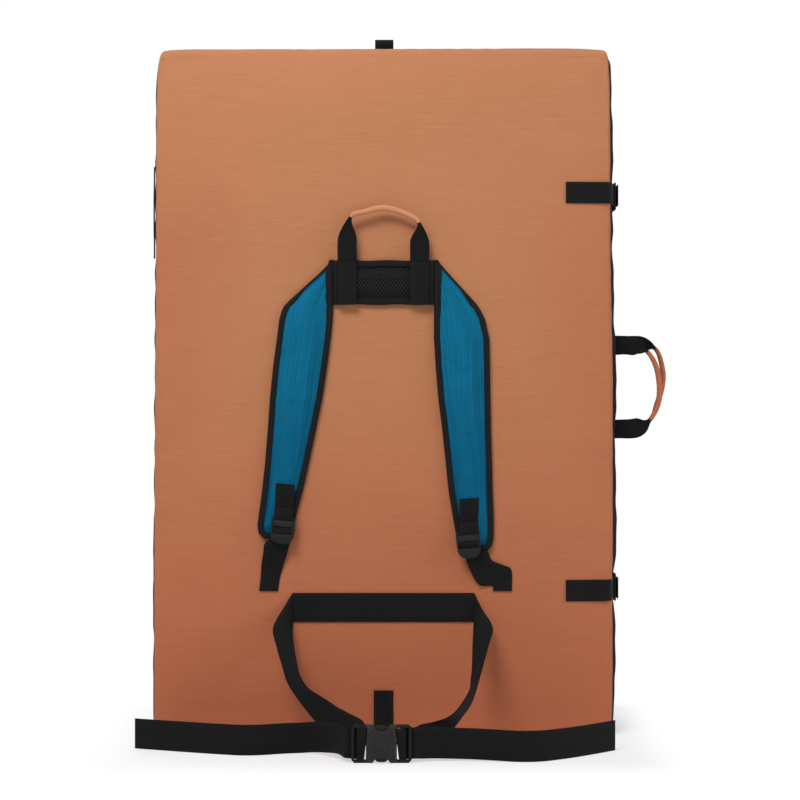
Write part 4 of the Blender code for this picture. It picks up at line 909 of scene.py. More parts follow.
def strip_ways(edges):
    """The middle of each row, and from there the ways across the strap and out of its face."""
    middle = edges.mean(axis=1)
    side = unit(edges[:, 1] - edges[:, 0])
    way = unit(np.gradient(middle, axis=0))
    return middle, side, unit(np.cross(way, side))


def strap_section(width, thickness):
    """Half of a webbing section: places across it and out of it, with rounded selvedges."""
    half, round_off = width / 2, thickness / 2
    flat = [half - round_off] + [half * share for share in (0.6, 0.2, -0.2, -0.6)] + [round_off - half]
    top = [(x, thickness / 2) for x in flat]
    tip = half - round_off * 0.3
    shoulder = thickness * 0.35
    front = [(half, 0), (tip, shoulder)] + top + [(-tip, shoulder), (-half, 0)]
    return front + [(-tip, -shoulder)] + [(x, -y) for x, y in reversed(top)] + [(tip, -shoulder)]


def webbing_piece(node, toward, step):
    """Woven webbing along the rows of its CAD strap."""
    rows = corner_rows(node, toward)
    thickness = (rows[0][3] - rows[0][0]).length
    edges = strip_edges(rows)
    for number, places in FOLDS.get(node, {}).items():
        for point, (x, z, *depth) in zip(edges[number], places):
            point.x, point.z = x, z
            point.y = depth[0] if depth else point.y
    first, lifts = RAISED.get(node, (0, ()))
    for pair, lift in zip(edges[first:], lifts):
        for point in pair:
            point.z += lift
    if node in ASIDE:
        low, high, up = ASIDE[node]
        heights = [pair[0].z for pair in edges]
        for pair, height in zip(edges, heights):
            for point in pair:
                point.x += float(np.interp(height, (min(heights), max(heights)), (low, high)))
                point.z += up
    first, lean = LEANING.get(node, (len(edges), 0))
    for pair in edges[first:]:
        pair[1].x += lean
    if node in TUCKED:
        edges.pop()
    if node in LENGTHENED:
        for end, beside in ((0, 1), (-1, -2)):
            way = (edges[end][0] - edges[beside][0]).normalized() * LENGTHENED[node]
            edges[end] = [point + way for point in edges[end]]
    edges = smooth_rows(edges, step)
    middle, side, out = strip_ways(edges)
    widths = np.linalg.norm(edges[:, 1] - edges[:, 0], axis=1)
    section = strap_section(widths.mean(), thickness)
    rings = []
    for k, width in enumerate(widths):
        share = width / widths.mean()
        rings.append([middle[k] + side[k] * x * share + out[k] * y for x, y in section])
    item = skin(f"woven_{node}", rings, [x for x, _ in section])
    length = float(spans(middle).sum())
    sewn = SEWN.get(node)
    finish = sewn_webbing(node, float(widths.mean()) / 2, length, sewn) if sewn else webbing_weave()
    return finish_piece(item, finish, 60)


class PAD_OT_webbing(bpy.types.Operator):
    """Woven straps, loops and tabs in place of their plain solids"""

    bl_idname = "pad.webbing"
    bl_label = "Webbing"

    def execute(self, context):
        step = sizes().web_step
        for node, (body, toward) in STRAPS.items():
            item = webbing_piece(node, toward, step)
            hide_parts(node)
            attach(item, body)
        for node, (first, second, toward, start, end) in BENDING.items():
            item = webbing_piece(node, toward, step)
            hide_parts(node)
            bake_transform(item)
        return {"FINISHED"}


def handle_rows(corners, count):
    """A smooth curve through a handle's route, with that many points between each two."""
    points = [Vector(p) for p in corners]
    padded = [2 * points[0] - points[1]] + points + [2 * points[-1] - points[-2]]
    curve = []
    for a, b, c, d in zip(padded, padded[1:], padded[2:], padded[3:]):
        for k in range(count):
            t = k / count
            curve.append(0.5 * (2 * b + (c - a) * t + (2 * a - 5 * b + 4 * c - d) * t * t
                                + (3 * b - a - 3 * c + d) * t**3))
    return np.array([tuple(p) for p in curve + [points[-1]]])


def handle_pieces(handle, corners, grip_radius, cloth, tint):
    """A handle's webbing, flat at its ends and rolled inside its grip, and the grip's sewn sleeve."""
    steps = 12
    path = handle_rows(corners, steps)
    way = np.gradient(path, axis=0)
    way[0], way[-1] = path[1] - path[0], path[-1] - path[-2]
    way = unit(way)
    normal = np.array((0.0, -1.0, 0.0))
    side = unit(np.cross(way, normal))
    count = len(path)
    place = np.arange(count) / steps
    from_end = np.minimum(place, place[-1] - place)
    share = eased(np.clip(from_end - 1, 0, 1))
    across = np.array([1, 0.95, 0.6, 0.2, -0.2, -0.6, -0.95, -1, -0.95, -0.6, -0.2, 0.2, 0.6, 0.95])
    out = np.array([0, 0.8, 1, 1, 1, 1, 0.8, 0, -0.8, -1, -1, -1, -1, -0.8])
    inner = grip_radius * 0.62
    rings = []
    widths = HANDLE_WEB / 2 + (inner - HANDLE_WEB / 2) * share
    flat, rolled = 0.0007, 0.0024
    depths = flat + (rolled - flat) * share
    for k in range(count):
        bow = 0.0035 * math.sin(math.pi * share[k]) * across**2
        rings.append([path[k] + side[k] * u * widths[k] + normal * (v * depths[k] + b)
                      for u, v, b in zip(across, out, bow)])
    web = skin(f"woven_{handle}_webbing", rings, across * HANDLE_WEB / 2)
    finish_piece(web, webbing_weave(), 60)
    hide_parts(f"{handle}_webbing")
    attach(web, handle)
    inside = np.nonzero((place >= 2.0) & (place <= place[-1] - 2.0))[0]
    angles = np.linspace(0, 2 * math.pi, 24, endpoint=False)
    sleeve = []
    for number, k in enumerate(inside):
        end = min(number, len(inside) - 1 - number)
        slim = 0.72 + 0.28 * min(end / 16, 1) ** 0.7
        crease = 1 - 0.10 * np.exp(-(((angles - 1.5 * math.pi) / 0.22) ** 2))
        wave = 1 + 0.018 * math.sin(k * 1.7) + 0.012 * math.sin(k * 0.6 + 1)
        radius = grip_radius * slim * wave
        sleeve.append([path[k] + (side[k] * math.cos(a) + normal * math.sin(a)) * radius * c
                       for a, c in zip(angles, crease)])
    grip = skin(f"sewn_{handle}_grip", sleeve, angles * grip_radius)
    finish_piece(grip, orange_cloth(cloth, tint), 60)
    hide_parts(f"{handle}_grip")
    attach(grip, handle)


class PAD_OT_handles(bpy.types.Operator):
    """The grab handle over the yoke and the two side handles, with rolled grips"""

    bl_idname = "pad.handles"
    bl_label = "Handles"

    def execute(self, context):
        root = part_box("grab_handle_webbing")[0].z
        # Across, stand-off and height of the flat leg, the gathered tip, the grip and down the other leg
        route = ((-0.047, 0, 0), (-0.047, 0.45, 0.0265), (-0.0425, 0.50, 0.0568), (-0.0230, 0.45, 0.0642),
                 (0.0010, 0.42, 0.0688), (0.0265, 0.45, 0.0620), (0.0458, 0.50, 0.0495),
                 (0.047, 0.45, 0.0235), (0.047, 0, 0))
        points = [Vector((x, -0.0532 - 0.008 * off, root + up)) for x, off, up in route]
        # The grip's cloth is paler all over: a painted highlight for the light on its top
        handle_pieces("grab_handle", points, 0.0040, "bleached_grip_cloth", GRIP_HIGHLIGHT_TINT)
        # Distance out of the wall and up from the middle, for the upper leg and then the lower one
        routes = {
            "front": ((0, 0.0555), (0.028, 0.0540), (0.0475, 0.0460), (0.0593, 0.026), (0.0637, 0.0),
                      (0.0615, -0.024), (0.0510, -0.044), (0.034, -0.0545), (0, -0.0570)),
            "rear": ((0, 0.0555), (0.046, 0.0580), (0.0702, 0.0525), (0.0799, 0.026), (0.0798, 0.0020),
                     (0.0722, -0.024), (0.0634, -0.0450), (0.042, -0.0580), (0, -0.0570)),
        }
        for half in HALVES:
            low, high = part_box(f"side_handle_{half}_webbing")
            y, middle = (low.y + high.y) / 2, (low.z + high.z) / 2
            points = [Vector((low.x + out, y, middle + up)) for out, up in routes[half]]
            handle_pieces(f"side_handle_{half}", points, 0.0038, "rubbed_grip_cloth", SHADE_AND_GRIP_TINT)
        return {"FINISHED"}


# Pad halves


def rounded_block(name, low, high, corner, front, back, step):
    """A block modelled from a cube: rounded uprights, a rounded front rim and a smaller back rim, cut into a
    grid of even cells. Y runs from the front to the back."""
    clear_picks()
    centre, size = (low + high) / 2, high - low
    bpy.ops.mesh.primitive_cube_add(size=1, location=centre, scale=size)
    item = added(name)
    bpy.ops.object.transform_apply(location=True, rotation=True, scale=True)

    def shape():
        choose(item, "EDGE", lambda e: abs(e.verts[0].co.y - e.verts[1].co.y) > size.y / 2)
        bpy.ops.mesh.bevel(offset=corner, segments=5, affect="EDGES")
        for y, radius, count in ((low.y, front, 4), (high.y, back, 2)):
            choose(item, "EDGE", lambda e: all(abs(v.co.y - y) < 0.0001 for v in e.verts))
            bpy.ops.mesh.bevel(offset=radius, segments=count, affect="EDGES", clamp_overlap=False)
        for axis, inset in ((0, corner), (2, corner), (1, 0)):
            start, end = low[axis] + inset, high[axis] - inset
            if axis == 1:
                start, end = low.y + front, high.y - back
            count = max(2, round((end - start) / step))
            way = [0, 0, 0]
            way[axis] = 1
            for k in range(count + 1):
                place = centre.copy()
                place[axis] = start + (end - start) * k / count
                bpy.ops.mesh.select_all(action="SELECT")
                bpy.ops.mesh.bisect(plane_co=place, plane_no=way)

    mesh_step(item, shape)
    return item


# How far the front half's seam and the roll behind it stand out from the plain wall, by height
CLOSURE_SIDE = (
    (0.000, -0.0004, 0.0016), (0.035, 0.0012, 0.0034), (0.080, 0.0014, 0.0056), (0.200, 0.0014, 0.0068),
    (0.270, 0.0014, 0.0084), (0.400, 0.0014, 0.0068), (0.465, 0.0014, 0.0086), (0.550, 0.0004, 0.0052),
    (0.620, -0.0008, 0.0030), (0.800, -0.0012, 0.0020), (0.855, -0.0016, -0.0024), (0.873, -0.0022, -0.0052),
    (0.896, -0.0034, -0.0060),
)
HINGE_SIDE = (
    (0.000, 0.0022, 0.0034), (0.250, 0.0022, 0.0036), (0.290, 0.0022, 0.0022), (0.450, 0.0014, 0.0020),
    (0.600, 0.0004, 0.0010), (0.740, 0.0002, 0.0006), (0.820, -0.0002, -0.0012), (0.860, -0.0008, -0.0028),
    (0.896, -0.0022, -0.0046),
)


def bump_at(values, middle, spread):
    return np.exp(-(((values - middle) / spread) ** 2))


def swollen(co, width, height, thick, rim, crown, back, corner, half):
    """Moves a plain block's points to the form of a stuffed cover: a crowned face with soft rims, and walls
    that roll behind their seam as far as the closures, the corners and the foot let them."""
    seam, seat = crown + rim, thick - back
    depth = co[:, 1].copy()
    inset = np.minimum(width / 2 - np.abs(co[:, 0]), np.minimum(co[:, 2], height - co[:, 2]))
    run = np.clip((inset - rim) / 0.09, 0, 1)
    soft = 0.0017 * np.exp(-np.maximum(inset - rim, 0) / 0.011) * np.clip(inset / rim, 0, 1)
    co[:, 1] += np.where(depth < crown + 0.0001, -crown * (1 - (1 - run) ** 2), 0)
    co[:, 1] += np.where(depth < seam - 0.0002, soft, 0)
    along = np.clip((depth - seam) / (seat - seam), 0, 1)
    flat = co[:, [0, 2]] - np.array([0, height / 2])
    reach = np.array([width / 2 - corner, height / 2 - corner])
    out = unit(np.sign(flat) * np.clip(np.abs(flat) - reach, 0, None))
    out[:, 1] = np.maximum(out[:, 1], 0)
    x, z = co[:, 0].copy(), co[:, 2].copy()
    ripple = (np.sin(z * 2 * math.pi / 0.047 + 1.3) + 0.7 * np.sin(z * 2 * math.pi / 0.083 + 0.4)
              + 0.5 * np.sin(z * 2 * math.pi / 0.029 + 2.0))
    behind = bump_at(depth, seam + 0.014, 0.010)
    ahead = bump_at(depth, seam, 0.009)
    ridge = 0.0040 * np.sin(math.pi * along)
    free = np.ones(len(co))
    for low, high in (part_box(f"closure_webbing_{level}") for level in LEVELS):
        free = free - bump_at(z, (low.z + high.z) / 2, 0.024)
    for sign, profile, ease in ((1, CLOSURE_SIDE, free), (-1, HINGE_SIDE, np.ones(len(co)))):
        heights, seams, rolls = zip(*profile)
        facing = np.clip(out[:, 0] * sign, 0, 1)
        roll = np.interp(z, heights, rolls) + 0.0006 * ripple * (1 if sign > 0 else 0.5)
        full = roll if half == "front" else roll * 0.5
        swell = np.interp(z, heights, seams) * ahead + full * ease * behind + ridge
        co[:, 0] += sign * facing * swell * np.clip(z / 0.012, 0, 1)
    # The top stands up a little higher towards the closure side
    upright = 0.0036 + 0.0008 * x / width * 2
    co[:, 2] += out[:, 1] * (upright * ahead + (upright + 0.0004) * behind + ridge * 0.6)
    # Both top corners slope off, the hinge side's more sharply
    near_top = np.clip((z - height + 0.03) / 0.03, 0, 1)
    slope = np.exp(-(x + width / 2) / 0.012) * near_top
    co[:, 2] -= 0.0042 * slope + 0.0042 * np.exp(-(width / 2 - x) / 0.022) * near_top
    co[:, 0] += 0.0024 * slope
    return co


def cover_half(half):
    """One half's covers: swollen and puckered as one closed form, then parted at its seams."""
    outer_low, outer_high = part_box(f"{half}_outer_panel")
    landing_low, landing_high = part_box(f"{half}_landing_panel")
    flip = half == "rear"
    thick = max(outer_high.y, landing_high.y) - min(outer_low.y, landing_low.y)
    face = outer_high.y if flip else outer_low.y
    width, height = outer_high.x - outer_low.x, outer_high.z
    rim, crown, back, corner = 0.009, 0.003, 0.005, 0.009
    low = Vector((-width / 2, crown, 0))
    high = Vector((width / 2, thick, height))
    item = rounded_block(f"{half}_covers", low, high, corner, rim, back, sizes().cover_step)
    plain_depths = [cell.center.y for cell in item.data.polygons]
    set_points(item, swollen(points_of(item), width, height, thick, rim, crown, back, corner, half))
    rest = points_of(item)
    seam, seat = crown + rim, thick - back
    # The part of each face, by the depth of its middle
    parted = [0 if depth < seam else 1 if depth < seat else 2 for depth in plain_depths]
    # The seams, the foot and the flat landing side are held, and the walls and rims are free to pucker
    held = np.full(len(rest), 0.25)
    held[rest[:, 1] < seam - 0.002] = 0.55
    held[rest[:, 1] < crown + 0.0016] = 0.93
    held[(np.abs(rest[:, 1] - seam) < 0.0005) | (np.abs(rest[:, 1] - seat) < 0.0005)] = 0.9
    held[rest[:, 2] < 0.004] = 1.0
    held[rest[:, 1] > seat + 0.0005] = 0.97
    settle(item, held, 0.25, 0.010, sizes().cover_play * 0.6)
    co = points_of(item)
    co[:, 2] = np.maximum(co[:, 2], 0.0)
    co[:, 1] = np.clip(co[:, 1], 0.0, thick)
    co[:, 1] = face - co[:, 1] if flip else face + co[:, 1]
    set_points(item, co)
    if flip:
        mesh_step(item, lambda: bpy.ops.mesh.flip_normals())
    parts = {}
    for number, part in enumerate(("outer_panel", "side_band", "landing_panel")):
        pick(item)
        bpy.ops.object.duplicate()
        piece = added(f"sewn_{half}_{part}")
        bpy.ops.object.mode_set(mode="EDIT")
        choose(piece, "FACE", lambda f: parted[f.index] != number)
        bpy.ops.mesh.delete(type="FACE")
        bpy.ops.object.mode_set(mode="OBJECT")
        parts[part] = piece
    bpy.data.objects.remove(item)
    return parts


class PAD_OT_covers(bpy.types.Operator):
    """Outer, side and landing covers of both halves, as cloth over foam"""

    bl_idname = "pad.covers"
    bl_label = "Pad covers"

    def execute(self, context):
        for half in HALVES:
            for part, piece in cover_half(half).items():
                apply_modifier(piece, "SUBSURF", levels=1, render_levels=1)
                apply_modifier(piece, "SOLIDIFY", thickness=sizes().cover_thickness, offset=-1)
                orange = half == "front" and part == "outer_panel"
                finish = orange_cloth() if orange else black_cloth(seamed=part != "side_band")
                finish_piece(piece, finish, 50)
                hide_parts(f"{half}_{part}")
                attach(piece, f"{half}_half")
        return {"FINISHED"}


class PAD_OT_foams(bpy.types.Operator):
    """Soft cores and firm decks inside both halves"""

    bl_idname = "pad.foams"
    bl_label = "Foams"

    def execute(self, context):
        colours = fabrics()
        fillings = (("core", colours.foam, "soft_foam"), ("deck", colours.deck, "firm_foam"))
        for half in HALVES:
            for part, colour, slot in fillings:
                node = f"{half}_{part}_foam"
                low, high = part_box(node)
                start, end = low + Vector((0.010, 0.0006, 0.002)), high - Vector((0.010, 0.0006, 0.012))
                if part == "core" and half == "front":
                    start.y += 0.006
                elif part == "core":
                    end.y -= 0.006
                block = rounded_block(f"cut_{node}", start, end, 0.012, 0.004, 0.004, 0.04)
                finish_piece(block, foam_cells(f"{part}_foam", tuple(colour), 0.0022))
                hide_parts(node)
                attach(block, f"{half}_half")
        return {"FINISHED"}


class PAD_OT_hinge(bpy.types.Operator):
    """The cloth hinge between the halves"""

    bl_idname = "pad.hinge"
    bl_label = "Cloth hinge"

    def execute(self, context):
        edges = smooth_rows(strip_edges(corner_rows("fold_hinge_strip", (0, -1, 0))), 0.002)
        low, high = edges[:, 0], edges[:, 1]
        middle, _, out = strip_ways(edges)
        rows_up = 60
        half_thickness = 0.0006
        rings = []
        for share in np.linspace(0, 1, rows_up):
            wave = 0.0003 * math.sin(share * 40) + 0.0002 * math.sin(share * 93 + 1)
            row = low + (high - low) * share + out * wave
            rings.append([*(row + out * half_thickness), *(row - out * half_thickness)[::-1]])
        lengths = run(middle)
        item = skin("sewn_fold_hinge_strip", rings, [*lengths, *lengths[::-1]])
        finish_piece(item, black_cloth(), 60)
        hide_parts("fold_hinge_strip")
        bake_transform(item)
        return {"FINISHED"}


# Harness


def outline_rows(node, step):
    """Height, left edge, right edge, front and back of a bound pad, at cuts through its solid a step apart."""
    solid = frame["nodes"][node]
    co = points_of(solid)
    ends = np.array([tuple(edge.vertices) for edge in solid.data.edges])
    a, b = co[ends[:, 0]], co[ends[:, 1]]
    rise = b[:, 2] - a[:, 2]
    a, b, rise = a[np.abs(rise) > 1e-6], b[np.abs(rise) > 1e-6], rise[np.abs(rise) > 1e-6]
    low, high = co[:, 2].min(), co[:, 2].max()
    rows = []
    for z in np.linspace(low, high, max(4, round((high - low) / step)) + 1):
        share = (np.clip(z, low + 1e-5, high - 1e-5) - a[:, 2]) / rise
        cut = (a + (b - a) * share[:, None])[(share >= 0) & (share <= 1)]
        rows.append((z, cut[:, 0].min(), cut[:, 0].max(), cut[:, 1].min(), cut[:, 1].max()))
    return np.array(rows)


def padded_form(name, rows, back, play, columns=17):
    """A crowned pad with flat sewn edges: a grid wrapped over its front and back, then swollen as cloth."""
    shares = np.linspace(-1, 1, columns)
    shares = np.sign(shares) * (1 - (1 - np.abs(shares)) ** 1.25)
    rings = []
    held = []
    for z, left, right, front, _ in rows:
        half = (right - left) / 2
        edge = (1 - np.abs(shares)) * half
        climb = eased(np.clip((edge - FLANGE) / CLIMB, 0, 1))
        x = (left + right) / 2 + shares * half
        top = [(a, back - (back - front) * (0.12 + 0.88 * c), z) for a, c in zip(x, climb)]
        bottom = [(a, back, z) for a in x[::-1]]
        rings.append(top + bottom)
        free = np.clip((edge - FLANGE) / 0.004, 0, 1)
        end = np.clip((min(z - rows[0, 0], rows[-1, 0] - z) - FLANGE) / 0.01, 0, 1)
        held.append(np.concatenate([1 - 0.85 * free * end, np.ones(columns)]))
    across = [*(shares * 0.035), *(shares[::-1] * 0.035)]
    item = skin(name, rings, across)
    table = {}
    for ring, weights in zip(rings, held):
        for point, weight in zip(ring, weights):
            table[tuple(np.round(point, 6))] = weight
    weights = [table.get(tuple(np.round(p, 6)), 1.0) for p in points_of(item)]
    settle(item, weights, 0.8, 0.02, play)
    return item


def press_down(item, node, gap):
    """Presses a padded front in under a strap that crosses it."""
    low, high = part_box(node)
    co = points_of(item)
    beyond = np.maximum.reduce([low.x - co[:, 0], co[:, 0] - high.x, low.z - co[:, 2], co[:, 2] - high.z])
    level = high.y + gap - np.clip(beyond - 0.002, 0, None) * 0.6
    co[:, 1] = np.maximum(co[:, 1], level)
    set_points(item, co)


class PAD_OT_shoulder_pads(bpy.types.Operator):
    """Padded fronts and mesh backs of the shoulder straps"""

    bl_idname = "pad.shoulder_pads"
    bl_label = "Shoulder straps"

    def execute(self, context):
        for side in SIDES:
            body = f"shoulder_strap_{side}"
            node = f"shoulder_cover_{side}"
            rows = outline_rows(node, 0.005)
            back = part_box(node)[1].y
            front = padded_form(f"padded_{node}", rows, back, sizes().strap_play)
            press_down(front, f"shoulder_web_{side}", 0.0003)
            apply_modifier(front, "SUBSURF", levels=1, render_levels=1)
            finish_piece(front, blue_cloth(), 70)
            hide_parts(node, f"shoulder_foam_{side}")
            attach(front, body)
            node = f"shoulder_backing_{side}"
            rows = outline_rows(node, 0.005)
            rings = [[(left, front, z), ((left + right) / 2, front, z), (right, front, z), (right, back, z),
                      ((left + right) / 2, back, z), (left, back, z)] for z, left, right, front, back in rows]
            lining = skin(f"sewn_{node}", rings, (-0.03, 0, 0.03, 0.03, 0, -0.03))
            finish_piece(lining, spacer_knit(), 60)
            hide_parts(node)
            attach(lining, body)
        return {"FINISHED"}


class PAD_OT_yoke(bpy.types.Operator):
    """The mesh panel between the shoulder straps"""

    bl_idname = "pad.yoke"
    bl_label = "Yoke"

    def execute(self, context):
        low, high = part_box("harness_yoke")
        high.z += YOKE_RISE
        base = np.array([[z, low.x, high.x, low.y, high.y] for z in np.linspace(low.z, high.z, 15)])
        for row in base:
            inside = min(row[0] - low.z, high.z - row[0])
            climb = min(max((inside - 0.007) / CLIMB, 0), 1)
            row[3] = high.y - (high.y - low.y) * (0.25 + 0.75 * climb)
        item = padded_form("padded_harness_yoke", base, high.y, 0.0006, columns=31)
        apply_modifier(item, "SUBSURF", levels=1, render_levels=1)
        finish_piece(item, spacer_knit(), 70)
        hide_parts("harness_yoke")
        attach(item, "front_half")
        return {"FINISHED"}


def tape_rings(outline, covers, closed, over, under):
    """Rounded sections of folded tape along an outline in the XZ plane. Over and under are its faces in Y,
    and covers is how far it reaches in over the edge at each point of the outline."""
    skin_thick, proud = 0.0010, 0.0012
    depth = (under - over) / 2
    middle = (under + over) / 2
    back = depth + skin_thick * 0.9
    rings = []
    count = len(outline)
    for k, (point, cover) in enumerate(zip(outline, covers)):
        section = [(-cover, -depth), (-cover, -depth - skin_thick), (-cover / 2, -depth - skin_thick * 1.2),
                   (0, -depth - skin_thick), (proud * 0.75, -depth * 0.75 - skin_thick * 0.5), (proud, 0),
                   (proud * 0.75, depth * 0.75 + skin_thick * 0.5), (0, back), (-cover / 2, back),
                   (-cover, back), (-cover, depth), (0, depth * 0.98), (proud * 0.15, 0), (0, -depth * 0.98)]
        before = outline[(k - 1) % count] if closed or k else None
        after = outline[(k + 1) % count] if closed or k < count - 1 else None
        pairs = [(a, b) for a, b in ((before, point), (point, after)) if a is not None and b is not None]
        sides = [unit(b - a) for a, b in pairs]
        normal = sum(np.array((s[1], -s[0])) for s in sides) / len(sides)
        normal = normal / max(normal @ normal, 0.4)
        rings.append([(point[0] + normal[0] * n, middle + y, point[1] + normal[1] * n) for n, y in section])
    lengths = np.concatenate([[0], np.cumsum([math.dist(a, b) for a, b in zip(section, section[1:])])])
    return rings, lengths


def waved(corners, step, height):
    """A closed outline with points a step apart, its long sides a little waved as sewing leaves them."""
    made = []
    for a, b in zip(corners, corners[1:] + corners[:1]):
        length = math.dist(a, b)
        count = max(1, round(length / step))
        way = (b - a) / length
        for k in range(count):
            share = k / count
            wave = math.sin(share * length * 2 * math.pi / 0.052 + 0.8) * min(1, 8 * share, 8 * (1 - share))
            made.append(a + (b - a) * share + np.array((way[1], -way[0])) * height * wave)
    return made


def turned_over(rows, side, z):
    """How far a strap's tape reaches in: wide beside the yoke, and narrow along the slanted outer top edge."""
    width = np.interp(z, rows[:, 0], rows[:, 2] - rows[:, 1])
    top = rows[-1, 0]
    if side == "inner":
        wide = 0.0068 + 0.0018 * np.clip((z - top + 0.075) / 0.03, 0, 1)
        return min(wide, max(width - 0.0006, 0.002))
    share = np.clip((top - 0.030 - z) / 0.020, 0, 1)
    return 0.0016 + (min(0.0068, width * 0.55) - 0.0016) * share


class PAD_OT_bindings(bpy.types.Operator):
    """Tape folded round the edges of the yoke and the shoulder straps"""

    bl_idname = "pad.bindings"
    bl_label = "Edge tape"

    def execute(self, context):
        for side, sign in SIDES.items():
            rows = outline_rows(f"shoulder_cover_{side}", 0.006)
            tape_low, tape_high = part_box(f"shoulder_binding_{side}")
            inner, outer = (rows[:, 1], rows[:, 2]) if sign > 0 else (rows[:, 2], rows[:, 1])
            z = rows[:, 0]
            down = [np.array(place) for place in zip(inner[::-1], z[::-1])]
            up = [np.array(place) for place in zip(outer, z)]
            tip = [np.array((inner[-1], 0.6222)), np.array((inner[-1] + sign * 0.0032, 0.6216))]
            outline = [tip[0]] + down + up + [tip[1]]
            covers = [0.0030] + [turned_over(rows, "inner", place[1]) for place in down]
            covers += [turned_over(rows, "outer", place[1]) for place in up] + [0.0016]
            if sign < 0:
                outline, covers = outline[::-1], covers[::-1]
            over, under = tape_low.y + TAPE_EDGE, tape_high.y - TAPE_EDGE
            rings, lengths = tape_rings(outline, covers, False, over, under)
            item = skin(f"folded_shoulder_binding_{side}", rings, lengths)
            finish_piece(item, tape_weave(), 60)
            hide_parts(f"shoulder_binding_{side}")
            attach(item, f"shoulder_strap_{side}")
        low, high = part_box("yoke_binding")
        # The yoke runs on to the straps' tape at its sides
        low.x, high.x, high.z = low.x - 0.0014, high.x + 0.0014, high.z + YOKE_RISE
        left, right = low.x + TAPE_EDGE, high.x - TAPE_EDGE
        bottom, top = low.z + TAPE_EDGE, high.z - TAPE_EDGE
        corners = [(left, bottom), (right, bottom), (right, top), (left, top)]
        outline = waved([np.array(c) for c in corners], 0.006, 0.0005)
        covers = [0.0066] * len(outline)
        rings, lengths = tape_rings(outline, covers, True, low.y + TAPE_EDGE, high.y - TAPE_EDGE)
        item = skin("folded_yoke_binding", rings, lengths, closed=True)
        finish_piece(item, tape_weave(), 60)
        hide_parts("yoke_binding")
        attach(item, "front_half")
        return {"FINISHED"}


# Fittings


def adjuster_axes(joint):
    """An adjuster's pivot, and its own ways across and down."""
    axis = joint["axis"]
    across = np.array((abs(axis[0]), 0, math.copysign(axis[2], axis[0] * axis[2])))
    return np.array(joint["pos_m"], float), across, np.array((across[2], 0, -across[0]))


def drawn_in(co, joint):
    """Draws the lower ends of an adjuster's rails in towards its rounded end."""
    pivot, across, down = adjuster_axes(joint)
    low = np.clip(((co - pivot) @ down - 0.0165) / 0.0156, 0, 1)
    return co - across * ((co - pivot) @ across * 0.38 * low**1.6)[:, None]


def adjuster_plate(name, joint, top, bottom, half_top, half_bottom, round_off):
    """A flat bar or tongue of an adjuster, laid out down from its pivot in the adjuster's own slant."""
    clear_picks()
    bpy.ops.mesh.primitive_cube_add(size=1)
    item = added(name)
    pivot, across, down = adjuster_axes(joint)
    co = points_of(item)
    share = 0.5 - co[:, 2]
    half = half_top + (half_bottom - half_top) * share
    places = pivot + across * (co[:, 0] * 2 * half)[:, None] + down * (top + (bottom - top) * share)[:, None]
    places[:, 1] += -0.0020 + co[:, 1] * 0.0015
    low = share > 0.5
    set_points(item, places)

    def ease():
        if round_off:
            choose(item, "EDGE", lambda e: all(low[v.index] for v in e.verts)
                   and abs(e.verts[0].co.y - e.verts[1].co.y) > 0.001)
            bpy.ops.mesh.bevel(offset=round_off, segments=8, affect="EDGES")

    mesh_step(item, ease)
    return item


class PAD_OT_fittings(bpy.types.Operator):
    """Buckle, adjusters and hooks with eased edges and their own grain"""

    bl_idname = "pad.fittings"
    bl_label = "Fittings"

    def execute(self, context):
        for node, (body, width, slot) in FITTINGS.items():
            source = frame["nodes"][node]
            pick(source)
            bpy.ops.object.duplicate()
            item = added(f"eased_{node}")
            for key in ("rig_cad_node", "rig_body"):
                if key in item:
                    del item[key]
            item.parent = None
            item.hide_render = False

            def merge():
                bpy.ops.mesh.remove_doubles(threshold=0.000002)
                bpy.ops.mesh.dissolve_limited(angle_limit=math.radians(0.5))

            mesh_step(item, merge)
            if node == "buckle_female":
                # The socket's mouth closes up to the shoulder of the other half
                co = points_of(item)
                co[co[:, 0] > MOUTH_EDGE, 0] += MOUTH_SHIFT
                set_points(item, co)
            if node.startswith("ladder_lock"):
                joint = next(j for j in frame["joints"] if j["child"] == node)
                set_points(item, drawn_in(points_of(item), joint))
                plates = [adjuster_plate(f"{node}_{part}", joint, *values)
                          for part, values in ADJUSTER_PLATES.items()]
                pick(item)
                for plate in plates:
                    plate.select_set(True)
                bpy.ops.object.join()
                set_points(item, points_of(item) + np.array(SLID[node]))
            limit = math.radians(35)
            apply_modifier(item, "BEVEL", width=width, segments=2, limit_method="ANGLE", angle_limit=limit)
            finish = hook_steel() if slot == "hook_metal" else moulded_plastic(node.startswith("buckle"))
            finish_piece(item, finish, 32)
            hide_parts(node)
            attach(item, body)
        return {"FINISHED"}


# Studio


def seen_directly(tree):
    """1 where the camera sees a surface, also in a gloss or through it, and 0 for the light it throws."""
    rays = tree.nodes.new("ShaderNodeLightPath")
    seen = math_node(tree, "MAXIMUM", rays.outputs["Is Camera Ray"], rays.outputs["Is Glossy Ray"])
    return math_node(tree, "MAXIMUM", seen, rays.outputs["Is Transmission Ray"])


